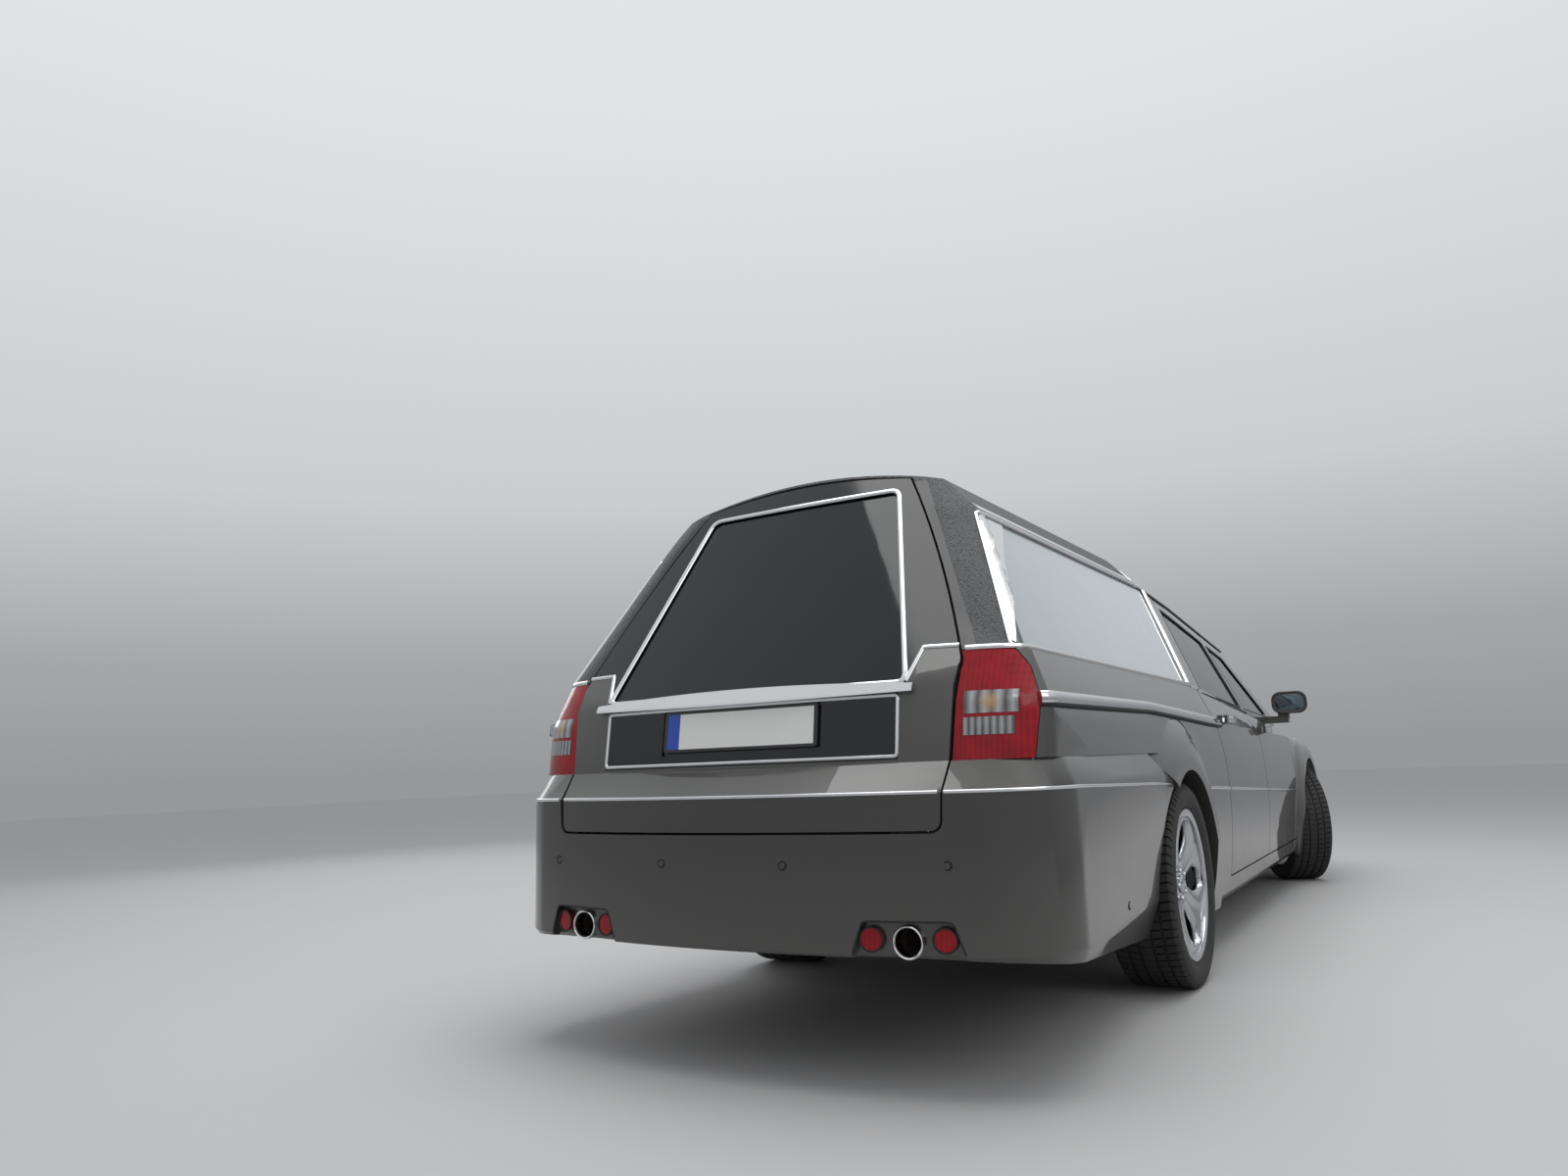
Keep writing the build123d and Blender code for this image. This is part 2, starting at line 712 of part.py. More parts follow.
def posts(stations):
    """Door posts and inner sill behind the doors on the left, with the rubber stops that the doors close on."""
    middle = (FRONT_DOOR_FRONT + REAR_DOOR_REAR) / 2
    half = (FRONT_DOOR_FRONT - REAR_DOOR_REAR) / 2 + 20
    with BuildPart() as columns:
        add(post_shell)
        columns_seen = [upright(s, 55, FLOOR_TOP + 1, rail_line(s + 55) - 1) for s in stations]
        extrude(Sketch() + columns_seen, amount=700, mode=Mode.INTERSECT)
    with BuildPart() as inner_sill:
        add(sill_shell)
        extrude(upright(middle, half, GROUND_CLEARANCE + 6, INNER_SILL_TOP), amount=700, mode=Mode.INTERSECT)
    with BuildPart() as stops:
        add(stop_shell)
        extrude(Sketch() + [upright(s, 15, 350, 380) for s in DOOR_STOPS], amount=700, mode=Mode.INTERSECT)
    return columns.part + inner_sill.part + stops.part


with BuildPart() as gate_stop:
    with Locations((fore(STOP_STATION - 50), STOP_Y, STOP_Z)):
        Box(100, 34, 40)
    add(gate_form(GATE_WALL + SEAT_GAP), mode=Mode.INTERSECT)
    with Locations((fore(STOP_STATION - 6), STOP_Y + 33, STOP_Z)):
        Box(24, 100, 40)


# Space that the rear bumper's side fills behind the wheel opening: station, z
joint_top, joint_foot = ARCH_JOINT
BUMPER_SIDE = [(-50, 100), (-50, joint_top[1]), joint_top, joint_foot, (joint_foot[0], 100)]

with BuildPart() as rear_flare:
    add(flare(REAR_AXLE_X, REAR_FLARE_RADIUS))
    extrude(
        offset(side_outline(BUMPER_SIDE, 1100), amount=SEAT_GAP, kind=Kind.INTERSECTION), amount=700, mode=Mode.SUBTRACT
    )

with BuildPart() as body_side_left:
    add(side_shell)
    extrude(side_outline(SIDE_OUTLINE, 1100), amount=1100 - SIDE_INNER_Y, mode=Mode.INTERSECT)
    for front in (True, False):
        hole = offset(side_outline(door_outline(front, 0), 1100), amount=SHUT_GAP, kind=Kind.INTERSECTION)
        extrude(hole, amount=700, mode=Mode.SUBTRACT)
    add(posts([DOOR_SPLIT]))
    add(gate_hole, mode=Mode.SUBTRACT)
    add(gate_stop.part)
    extrude(window_outline(QUARTER_WINDOW, 0), amount=700, mode=Mode.SUBTRACT)
    extrude(screen_hole, amount=1500, mode=Mode.SUBTRACT)
    add(rear_flare.part)
    add(arch_cut(REAR_AXLE_X, ARCH_RADIUS, 500), mode=Mode.SUBTRACT)
    add(arch_cut(FRONT_AXLE_X, ARCH_RADIUS, 500), mode=Mode.SUBTRACT)
keep(body_side_left, "body_side_left")

with BuildPart() as body_side_right:
    mirror(body_side_left.part, about=Plane.XZ)
keep(body_side_right, "body_side_right")

with BuildPart() as roof_zone:
    extrude(side_outline(ROOF_OUTLINE, 1100), amount=2200)
    extrude(side_outline(HEADER_OUTLINE, SIDE_INNER_Y - 1), amount=2 * SIDE_INNER_Y - 2)

with BuildPart() as roof:
    add(side_shell)
    add(roof_zone.part, mode=Mode.INTERSECT)
    add(gate_hole, mode=Mode.SUBTRACT)
    extrude(window_outline(QUARTER_WINDOW, 0), amount=2200, mode=Mode.SUBTRACT)
    extrude(screen_hole, amount=1500, mode=Mode.SUBTRACT)
keep(roof, "roof")

# Doors
DOORS = {}
for front, panel_name in ((True, "door_front"), (False, "door_rear")):
    window = FRONT_WINDOW if front else REAR_WINDOW
    edge = side_outline(door_outline(front, FRAME_GAP), 1100)
    with BuildPart() as door_frame:
        add(door_core)
        extrude(offset(edge, amount=-DOOR_STEP, kind=Kind.INTERSECTION), amount=700, mode=Mode.INTERSECT)
    with BuildPart() as door:
        add(door_skin)
        extrude(edge, amount=700, mode=Mode.INTERSECT)
        add(door_frame.part)
        extrude(window_outline(window, 0), amount=700, mode=Mode.SUBTRACT)
        handle_x, handle_z = HANDLES[0 if front else 1]
        with Locations((fore(handle_x), HANDLE_Y, handle_z)):
            Box(230, 44, 34)
        with Locations((fore(handle_x), HANDLE_Y - 4, handle_z)):
            Box(150, 24, 50, mode=Mode.SUBTRACT)
        if front:
            with Locations((fore(MIRROR_STATION), 885, MIRROR_Z - 96)):
                Box(60, 170, 40)
            with Locations((fore(MIRROR_STATION), 945, MIRROR_Z - 65)):
                Box(50, 60, 50)
            with BuildSketch(cross_plane(MIRROR_STATION - 45)):
                with Locations((MIRROR_Y, MIRROR_Z)):
                    RectangleRounded(190, 128, 50)
            with BuildSketch(cross_plane(MIRROR_STATION + 60)):
                with Locations((MIRROR_Y, MIRROR_Z)):
                    RectangleRounded(130, 84, 38)
            loft()
    with BuildPart() as glass:
        add(glass_shell)
        extrude(window_outline(window, SEAT_GAP), amount=700, mode=Mode.INTERSECT)
    with BuildPart() as door_right:
        mirror(door.part, about=Plane.XZ)
    with BuildPart() as glass_right:
        mirror(glass.part, about=Plane.XZ)
    keep(door, panel_name + "_left")
    keep(door_right, panel_name + "_right")
    keep(glass, panel_name + "_glass_left")
    keep(glass_right, panel_name + "_glass_right")

with BuildPart() as quarter_pane:
    add(glass_shell)
    extrude(window_outline(QUARTER_WINDOW, SEAT_GAP), amount=700, mode=Mode.INTERSECT)

with BuildPart() as screen_pane:
    add(glass_shell)
    extrude(offset(screen_hole, amount=-SEAT_GAP), amount=1500, mode=Mode.INTERSECT)

with BuildPart() as fixed_glass:
    add(quarter_pane.part)
    mirror(quarter_pane.part, about=Plane.XZ)
    add(screen_pane.part)
keep(fixed_glass, "fixed_glass")

# Front end
with BuildPart() as hood_zone:
    with BuildSketch(Plane.XY.offset(HOOD_EDGE_Z)):
        with BuildLine():
            Polyline(*HOOD_PLAN, *[(x, -y) for x, y in reversed(HOOD_PLAN)], close=True)
        make_face()
    extrude(amount=500)

with BuildPart() as hood_space:
    with BuildSketch(Plane.XY.offset(HOOD_EDGE_Z - SHUT_GAP)):
        with BuildLine():
            Polyline(*HOOD_PLAN, *[(x, -y) for x, y in reversed(HOOD_PLAN)], close=True)
        make_face()
        offset(amount=SHUT_GAP, kind=Kind.INTERSECTION)
    extrude(amount=500)

with BuildPart() as hood:
    add(front_shell)
    add(hood_zone.part, mode=Mode.INTERSECT)
keep(hood, "hood")

with BuildPart() as fender_left:
    add(front_shell)
    fender = [
        (FRONT_DOOR_FRONT + SHUT_GAP, 150),
        (FRONT_DOOR_FRONT + SHUT_GAP, 1010 - SEAT_GAP),
        (SCREEN_FOOT + 6, 1010 - SEAT_GAP),
        (SCREEN_FOOT + 6, 1100),
        (LENGTH - 40, 1100),
        (LENGTH - 40, LAMP_TOP + SEAT_GAP),
        (LAMP_REAR, LAMP_TOP + SEAT_GAP),
        (LAMP_REAR, BUMPER_TOP + SEAT_GAP),
        (FRONT_BUMPER_REAR, BUMPER_TOP + SEAT_GAP),
        (FRONT_BUMPER_REAR, 150),
    ]
    extrude(side_outline(fender, 1100), amount=1100 - FENDER_INNER_Y, mode=Mode.INTERSECT)
    add(hood_space.part, mode=Mode.SUBTRACT)
    add(flare(FRONT_AXLE_X, FRONT_FLARE_RADIUS))
    add(arch_cut(FRONT_AXLE_X, ARCH_RADIUS, 500), mode=Mode.SUBTRACT)

with BuildPart() as cowl:
    add(outer_lower)
    foot = FIREWALL_TOP + SEAT_GAP
    outline = [(FIREWALL, foot), (HOOD_REAR - SHUT_GAP, foot), (HOOD_REAR - SHUT_GAP, 1100), (FIREWALL, 1100)]
    extrude(side_outline(outline, FENDER_INNER_Y + 2), amount=2 * FENDER_INNER_Y + 4, mode=Mode.INTERSECT)

with BuildPart() as fenders:
    add(fender_left.part)
    mirror(fender_left.part, about=Plane.XZ)
    add(cowl.part)
keep(fenders, "fenders")

with BuildPart() as front_bumper:
    add(front_shell)
    rear = FRONT_BUMPER_REAR + SEAT_GAP
    outline = [(rear, 150), (6400, 150), (6400, BUMPER_TOP), (rear, BUMPER_TOP)]
    extrude(side_outline(outline, 1100), amount=2200, mode=Mode.INTERSECT)
    for side in (1, -1):
        cut = arch_cut(FRONT_AXLE_X, FRONT_FLARE_RADIUS + 2, 500)
        add(cut if side > 0 else cut.mirror(Plane.XZ), mode=Mode.SUBTRACT)
    with BuildSketch(cross_plane(6200)):
        with Locations((0, 430)):
            RectangleRounded(900, 150, 30)
    extrude(amount=200, mode=Mode.SUBTRACT)
keep(front_bumper, "front_bumper")

with BuildPart() as headlamps:
    add(outer_lower - lower_form(LAMP_DEPTH, LAMP_DEPTH, 150))
    foot = BUMPER_TOP + SEAT_GAP
    outline = [(LAMP_REAR + SEAT_GAP, foot), (6400, foot), (6400, LAMP_TOP), (LAMP_REAR + SEAT_GAP, LAMP_TOP)]
    extrude(side_outline(outline, 1100), amount=2200, mode=Mode.INTERSECT)
    with Locations((fore(6200), 0, 700)):
        Box(600, 2 * LAMP_INNER_Y, 400, mode=Mode.SUBTRACT)
    add(arch_cut(FRONT_AXLE_X, FRONT_FLARE_RADIUS + 2, 500), mode=Mode.SUBTRACT)
    add(arch_cut(FRONT_AXLE_X, FRONT_FLARE_RADIUS + 2, 500).mirror(Plane.XZ), mode=Mode.SUBTRACT)
keep(headlamps, "headlamps")

with BuildPart() as grille:
    height = LAMP_TOP - BUMPER_TOP - SEAT_GAP
    middle_z = (LAMP_TOP + BUMPER_TOP + SEAT_GAP) / 2
    with BuildSketch(cross_plane(GRILLE_STATION)):
        with Locations((0, middle_z)):
            Rectangle(2 * LAMP_INNER_Y - 2 * SEAT_GAP, height)
            Rectangle(2 * LAMP_INNER_Y - 50, height - 44, mode=Mode.SUBTRACT)
            for bar in range(4):
                with Locations((0, (bar - 1.5) * height / 5)):
                    Rectangle(2 * LAMP_INNER_Y - 20, 10)
    extrude(amount=GRILLE_DEPTH)
keep(grille, "grille")

# Rear end
def bumper_form(inset):
    """The rear bumper as a full block, inset from its skin."""
    with BuildPart() as form:
        loft(sections=[bumper_outline(row, inset, BUMPER_LENGTH) for row in BUMPER_OUTLINES], ruled=True)
    return form.part


def recess(side):
    """The shallow rounded recess round an exhaust tip, its floor level with the bumper's skin."""
    with BuildPart() as hollow:
        with BuildSketch(cross_plane(-20)) as outline:
            with BuildLine():
                Polyline(*[(side * y, z) for y, z in RECESS], close=True)
            make_face()
            fillet(outline.vertices(), radius=RECESS_CORNER)
        extrude(amount=400)
        add(bumper_form(-5) - bumper_form(RECESS_DEPTH), mode=Mode.INTERSECT)
    return hollow.part


def tip_hole(side, station):
    """Clearance hole round an exhaust tip, drawn at a station."""
    with BuildSketch(cross_plane(station)) as hole:
        with Locations((side * TIP_Y, TIP_Z)):
            Circle(TIP_RADIUS + 2)
    return hole.sketch


with BuildPart() as bumper_hollow:
    bottom, lower, upper, top = BUMPER_OUTLINES
    rows = [(bottom[0] - 1, *bottom[1:]), lower, (upper[0] - 25, *upper[1:]), (top[0] - 35, *top[1:])]
    loft(sections=[bumper_outline(row, BUMPER_WALL, BUMPER_LENGTH + 50) for row in rows], ruled=True)
    mouth = (top[0] - 45, *top[1:])
    extrude(bumper_outline(mouth, BUMPER_WALL, BUMPER_LENGTH + 50), amount=200)

with BuildPart() as bumper_foot:
    extrude(side_outline([*BUMPER_BOTTOM, (1600, 100), (-50, 100)], 1100), amount=2200)

with BuildPart() as arch_space:
    add(arch_cut(REAR_AXLE_X, ARCH_RADIUS, 500))
    extrude(side_outline([*ARCH_JOINT, (joint_foot[0], 900), (joint_top[0], 900)], 1100), amount=600)

with BuildPart() as rear_bumper:
    add(bumper_form(0))
    add(bumper_hollow.part, mode=Mode.SUBTRACT)
    add(bumper_foot.part, mode=Mode.SUBTRACT)
    add(gate_hole, mode=Mode.SUBTRACT)
    add(arch_space.part, mode=Mode.SUBTRACT)
    mirror(arch_space.part, about=Plane.XZ, mode=Mode.SUBTRACT)
    for side in (1, -1):
        add(recess(side), mode=Mode.SUBTRACT)
        extrude(tip_hole(side, -20), amount=300, mode=Mode.SUBTRACT)
keep(rear_bumper, "rear_bumper")

with BuildPart() as tail_lamp:
    add(outer_lower)
    outline = [(0, BUMPER_SEAT_Z), (234, BUMPER_SEAT_Z), (276, 1023), (299, 1090), (293, 1145.5), (0, 1145.5)]
    extrude(side_outline(outline, 1100), amount=1100 - LAMP_EDGE_Y, mode=Mode.INTERSECT)
    add(lower_form(TAIL_LAMP_DEPTH, 0, 150), mode=Mode.SUBTRACT)
    add(gate_hole, mode=Mode.SUBTRACT)

with BuildPart() as red_lamps:
    with BuildSketch(cross_plane(-20)):
        with Locations(*[(side * y, TIP_Z + 6) for side in (1, -1) for y in RED_LAMPS_Y]):
            Circle(RED_LAMP_RADIUS)
    extrude(amount=400)
    add(bumper_form(RECESS_DEPTH - RED_LAMP_PROUD) - bumper_form(RECESS_DEPTH - SEAT_GAP), mode=Mode.INTERSECT)

with BuildPart() as rear_lamps:
    add(tail_lamp.part)
    mirror(tail_lamp.part, about=Plane.XZ)
    add(red_lamps.part)
keep(rear_lamps, "rear_lamps")

with BuildPart() as tailgate:
    add(gate_shell)
    add(gate_prism(0), mode=Mode.INTERSECT)
    with BuildSketch(gate_plane()):
        Polygon(*GATE_WINDOW, align=None)
        fillet(vertices(), radius=30)
    extrude(amount=200, both=True, mode=Mode.SUBTRACT)
    with BuildSketch(plate_plane.offset(-PLATE_POCKET)):
        Rectangle(PLATE_WIDTH + 40, PLATE_HEIGHT + 36)
    extrude(amount=PLATE_POCKET + 40, mode=Mode.SUBTRACT)
keep(tailgate, "tailgate")

with BuildPart() as tailgate_glass:
    add(gate_glass_shell)
    with BuildSketch(gate_plane()):
        Polygon(*GATE_WINDOW, align=None)
        fillet(vertices(), radius=30)
        offset(amount=-SEAT_GAP)
    extrude(amount=200, both=True, mode=Mode.INTERSECT)
keep(tailgate_glass, "tailgate_glass")

with BuildPart() as gate_bar:
    add(gate_form(-BAR_DEPTH) - gate_form(-SEAT_GAP))
    with BuildSketch(cross_plane(-50)):
        with BuildLine():
            ends = [(-BAR_HALF_LENGTH, BAR_END[0]), (BAR_HALF_LENGTH, BAR_END[0])]
            tops = [(-BAR_HALF_LENGTH, BAR_END[1]), (BAR_HALF_LENGTH, BAR_END[1])]
            ThreePointArc(ends[0], (0, BAR_MIDDLE[0]), ends[1])
            ThreePointArc(tops[0], (0, BAR_MIDDLE[1]), tops[1])
            Line(ends[0], tops[0])
            Line(ends[1], tops[1])
        make_face()
    extrude(amount=600, mode=Mode.INTERSECT)
keep(gate_bar, "gate_bar")

with BuildPart() as number_plate:
    with BuildSketch(plate_plane.offset(-PLATE_POCKET)):
        RectangleRounded(PLATE_WIDTH + 24, PLATE_HEIGHT + 14, 10)
    extrude(amount=PLATE_POCKET - 2)
keep(number_plate, "number_plate")

with BuildPart() as exhaust:
    for side in (1, -1):
        with BuildSketch(cross_plane(TIP_STATION)):
            with Locations((side * TIP_Y, TIP_Z)):
                Circle(TIP_RADIUS)
                Circle(TIP_RADIUS - 5, mode=Mode.SUBTRACT)
        extrude(amount=240)
        with BuildSketch(cross_plane(TIP_STATION + 236)):
            with Locations((side * TIP_Y, TIP_Z)):
                Circle(TIP_RADIUS)
        extrude(amount=10)
        with BuildSketch(cross_plane(TIP_STATION + 240)):
            with Locations((side * TIP_Y, TIP_Z)):
                Circle(PIPE_RADIUS)
        extrude(amount=MUFFLER_STATION - TIP_STATION - 230)
        with BuildSketch(cross_plane(MUFFLER_STATION)):
            with Locations((side * TIP_Y, MUFFLER_Z)):
                RectangleRounded(220, 150, 60)
        extrude(amount=480)
        with BuildSketch(Plane.XY.offset(MUFFLER_Z + 70)):
            with Locations((fore(MUFFLER_STATION + 240), side * TIP_Y)):
                Circle(8)
        extrude(amount=REAR_FLOOR_Z - MUFFLER_Z - 70)
        add(bent_pipe([(station, side * y, z) for station, y, z in PIPE_ROUTE], PIPE_RADIUS, PIPE_BEND))
keep(exhaust, "exhaust")

# Floor, bulkheads and wheelhouses
with BuildPart() as wheelhouses:
    for axle_x, inner_y in ((REAR_AXLE_X, REAR_WELL_Y), (FRONT_AXLE_X, FRONT_WELL_Y)):
        with BuildSketch(side_plane(1100)):
            with Locations((axle_x, TYRE_RADIUS)):
                Circle(WELL_RADIUS + WELL_WALL)
                Circle(WELL_RADIUS, mode=Mode.SUBTRACT)
            with Locations((axle_x, TYRE_RADIUS - 600)):
                Rectangle(2000, 1100, mode=Mode.SUBTRACT)
        extrude(amount=1100 - inner_y)
        with BuildSketch(side_plane(inner_y)):
            with Locations((axle_x, TYRE_RADIUS)):
                Circle(WELL_RADIUS + WELL_WALL)
            with Locations((axle_x, TYRE_RADIUS - 400)):
                Rectangle(2000, 1192, mode=Mode.SUBTRACT)
        extrude(amount=WELL_WALL)
    add(fit_lower, mode=Mode.INTERSECT)

with BuildPart() as hood_stops:
    for side in (1, -1):
        with Locations((fore(RADIATOR_STATION + 25), side * 300, 780)):
            Cylinder(15, 200, align=(Align.CENTER, Align.CENTER, Align.MIN))
    add(lower_form(PANEL_WALL + SEAT_GAP, HOOD_WALL + SEAT_GAP, 150), mode=Mode.INTERSECT)

with BuildPart() as underbody:
    extrude(side_outline(FLOOR_PROFILE, 1100), amount=2200)
    add(fit_lower, mode=Mode.INTERSECT)
    for side in (1, -1):
        with Locations((REAR_AXLE_X, side * (REAR_WELL_Y + 500), TYRE_RADIUS)):
            Cylinder(WELL_RADIUS, 1000, rotation=(90, 0, 0), mode=Mode.SUBTRACT)
        with Locations((FRONT_AXLE_X, side * (FRONT_WELL_Y + 500), TYRE_RADIUS)):
            Cylinder(WELL_RADIUS, 1000, rotation=(90, 0, 0), mode=Mode.SUBTRACT)
    add(wheelhouses.part)
    mirror(wheelhouses.part, about=Plane.XZ)
    for side in (1, -1):
        with Locations((fore((FIREWALL + RADIATOR_STATION) / 2 + 20), side * RAIL_Y, RAIL_Z)):
            Box(RADIATOR_STATION - FIREWALL + 60, 60, 90)
        for station in JACK_STATIONS:
            with Locations((fore(station), side * JACK_Y, JACK_Z)):
                Box(100, 70, FLOOR_Z - JACK_Z, align=(Align.CENTER, Align.CENTER, Align.MIN))
    with Locations((fore(RADIATOR_STATION + 25), 0, 560)):
        Box(50, 880, 460)
    add(hood_stops.part)
keep(underbody, "underbody")

with BuildPart() as partition:
    extrude(side_outline([(2420, REAR_FLOOR_TOP), (2450, REAR_FLOOR_TOP), (2450, 1800), (2420, 1800)], 1100), amount=2200)
    add(fit_room, mode=Mode.INTERSECT)
    with BuildSketch(cross_plane(2400)):
        with Locations((0, 1330)):
            RectangleRounded(860, 300, 40)
    extrude(amount=100, mode=Mode.SUBTRACT)
keep(partition, "partition")

with BuildPart() as load_deck:
    with Locations((fore(1340), 0, REAR_FLOOR_TOP)):
        Box(2040, 1160, 30, align=(Align.CENTER, Align.CENTER, Align.MIN))
    for side in (1, -1):
        with Locations((fore(1340), side * 330, REAR_FLOOR_TOP + 30)):
            Box(2000, 50, 22, align=(Align.CENTER, Align.CENTER, Align.MIN))
keep(load_deck, "load_deck")


def seat(station, y_centre, width):
    """A seat: cushion and leaning back as one padded block."""
    outline = [(x + station, z) for x, z in SEAT_PROFILE]
    return extrude(side_outline(outline, y_centre + width / 2, 12), amount=width)


with BuildPart() as seats:
    seat(3930, 370, 520)
    seat(3930, -370, 520)
    seat(2780, 0, 1360)
keep(seats, "seats")

with BuildPart() as dashboard:
    front = FIREWALL - SEAT_GAP
    extrude(side_outline([(4640, 760), (4700, 920), (front, 950), (front, 620), (4700, 620)], 1100), amount=2200)
    add(fit_room, mode=Mode.INTERSECT)
keep(dashboard, "dashboard")

with BuildPart() as steering_wheel:
    wheel_plane = Plane(origin=(fore(4540), 370, 900), x_dir=(0, 1, 0), z_dir=(-0.9, 0, 0.43))
    with BuildSketch(wheel_plane.offset(-9)):
        Circle(186)
        Circle(160, mode=Mode.SUBTRACT)
        Rectangle(330, 34)
        with Locations((0, -90)):
            Rectangle(34, 160)
        Circle(55)
    extrude(amount=22)
    with BuildSketch(wheel_plane.offset(-170)):
        Circle(30)
    extrude(amount=165)
    add(dashboard.part, mode=Mode.SUBTRACT)
keep(steering_wheel, "steering_wheel")

with BuildPart() as engine:
    with Locations((fore((ENGINE_REAR + ENGINE_FRONT) / 2), 0, ENGINE_BOTTOM)):
        Box(ENGINE_FRONT - ENGINE_REAR, 560, 480, align=(Align.CENTER, Align.CENTER, Align.MIN))
    fillet(engine.edges().filter_by(Axis.X), radius=60)
keep(engine, "engine")

with BuildPart() as front_subframe:
    with Locations((FRONT_AXLE_X, 0, 240)):
        Box(90, 720, 80)
    for side in (1, -1):
        with Locations((FRONT_AXLE_X, side * 200, 280)):
            Box(70, 90, ENGINE_BOTTOM - SEAT_GAP - 280, align=(Align.CENTER, Align.CENTER, Align.MIN))
        with Locations((FRONT_AXLE_X, side * 520, LOWER_ARM_Z)):
            Box(60, 440, 26)
        with Locations((FRONT_AXLE_X, side * 560, UPPER_ARM_Z)):
            Box(50, 360, 24)
        with Locations((FRONT_AXLE_X, side * (RAIL_Y - 50.3), 395)):
            Box(80, 40, 340)
keep(front_subframe, "front_subframe")

with BuildPart() as rear_axle:
    with BuildSketch(side_plane(KINGPIN_Y + 25)):
        with Locations((REAR_AXLE_X, TYRE_RADIUS)):
            Circle(46)
    extrude(amount=2 * (KINGPIN_Y + 25))
    for side in (1, -1):
        with Locations((REAR_AXLE_X, side * 500, TYRE_RADIUS)):
            Cylinder(45, REAR_FLOOR_Z - TYRE_RADIUS, align=(Align.CENTER, Align.CENTER, Align.MIN))
        add(hub_end.moved(Location((REAR_AXLE_X, side * TRACK / 2, TYRE_RADIUS), (0, 0, 0 if side > 0 else 180))))
keep(rear_axle, "rear_axle")

with BuildPart() as left_trim:
    add(cabin_form(-HOOP_DEPTH) - cabin_form(-SEAT_GAP))
    extrude(hoop_outline, amount=700, mode=Mode.INTERSECT)

with BuildPart() as side_mouldings:
    add(left_trim.part)
    mirror(left_trim.part, about=Plane.XZ)
keep(side_mouldings, "side_mouldings")

# Wheels
for axle, x in (("front", FRONT_AXLE_X), ("rear", REAR_AXLE_X)):
    for name, side in (("left", 1), ("right", -1)):
        if axle == "rear":
            place = Location((x, side * TRACK / 2, TYRE_RADIUS), (0, 0, 0 if side > 0 else 180))
        else:
            pin = Location((x, side * KINGPIN_Y, 0), (0, 0, STEER_AT_REST))
            place = pin * Location((0, side * KINGPIN_OFFSET, TYRE_RADIUS), (0, 0, 0 if side > 0 else 180))
            with BuildPart() as knuckle:
                add(hub_end.moved(place))
                with Locations(place):
                    with Locations((0, -KINGPIN_OFFSET, 0)):
                        Box(60, 70, KNUCKLE_HEIGHT)
            keep(knuckle, "knuckle_" + name)
        with BuildPart() as rim:
            add(wheel_rim.moved(place))
        keep(rim, "rim_" + axle + "_" + name)
        with BuildPart() as tyre:
            add(wheel_tyre.moved(place))
        keep(tyre, "tyre_" + axle + "_" + name)
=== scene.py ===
"""Looks of a hearse: paint, vinyl, glass, chrome trim, lamps, wheels, seats and a studio.

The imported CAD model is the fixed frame, in metres: X forward, Y to the left, Z up.
Stations are measured forward from the rearmost point of the bumper.
"""

import bmesh
import bpy
import numpy as np
from bpy.props import BoolProperty, FloatProperty, FloatVectorProperty, IntProperty, PointerProperty
from bpy.types import Operator, Panel, PropertyGroup
from mathutils import Matrix, Vector


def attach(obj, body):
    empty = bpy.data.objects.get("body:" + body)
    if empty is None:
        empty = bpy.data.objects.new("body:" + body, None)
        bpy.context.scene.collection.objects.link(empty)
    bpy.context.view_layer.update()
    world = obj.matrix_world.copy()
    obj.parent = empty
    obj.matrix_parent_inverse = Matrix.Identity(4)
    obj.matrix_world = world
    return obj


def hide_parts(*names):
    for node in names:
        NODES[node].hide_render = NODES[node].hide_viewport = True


bl_info = {
    "name": "Hearse looks",
    "version": (1, 0, 0),
    "blender": (4, 5, 0),
    "location": "3D View > Sidebar > Hearse",
    "description": "Dresses the packed hearse with paint, trim, lamps, wheels and seats",
    "category": "Object",
}

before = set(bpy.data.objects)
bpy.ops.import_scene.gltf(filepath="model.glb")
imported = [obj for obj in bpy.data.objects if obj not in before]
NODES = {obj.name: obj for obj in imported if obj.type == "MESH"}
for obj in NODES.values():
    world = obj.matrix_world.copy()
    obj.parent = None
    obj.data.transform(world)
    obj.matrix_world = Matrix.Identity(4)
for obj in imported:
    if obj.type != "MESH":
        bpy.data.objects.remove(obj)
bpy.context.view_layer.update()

LENGTH = 6.310
REAR_AXLE = 1.740 - LENGTH / 2
FRONT_AXLE = REAR_AXLE + 3.700
WHEEL_Z = 0.364
WHEEL_Y = 0.800
KINGPIN_Y = 0.700
KINGPIN_OFFSET = 0.100
STEER = np.radians(27)
DOOR_SPLIT = 3.748
DOOR_FRONT = 4.878
SHUT = 0.008
FLOOR_SILL_Z = 0.234
STRIP_Z = 0.766
CABIN_RISE = 0.451
GATE_OUT = (-0.85, 0, 0.52)
GLOSS_BLACK = (0.006, 0.006, 0.007)
SIDES = ((1, "left"), (-1, "right"))

# The materials by the name of their finish, filled by the first operator
FINISH = {}
# Finish of the CAD nodes whose names start so; the first that fits counts
NODE_FINISH = {
    "door_front_glass": "tinted_glass", "door_rear_glass": "tinted_glass", "tailgate_glass": "tinted_glass",
    "fixed_glass": "clear_glass", "door": "paint", "body_side": "paint", "fenders": "paint", "hood": "paint",
    "rear_bumper": "paint", "front_bumper": "paint", "tailgate": "gate", "roof": "vinyl", "grille": "chrome",
    "side_mouldings": "chrome", "gate_bar": "chrome", "headlamps": "headlamp", "rear_lamps": "red",
    "number_plate": "plate", "exhaust": "exhaust", "partition": "grey", "load_deck": "wood", "seats": "leather",
    "dashboard": "plastic", "steering_wheel": "plastic", "engine": "cast", "knuckle": "cast",
    "front_subframe": "chassis", "rear_axle": "chassis", "underbody": "chassis", "rim": "wheel", "tyre": "tyre",
}
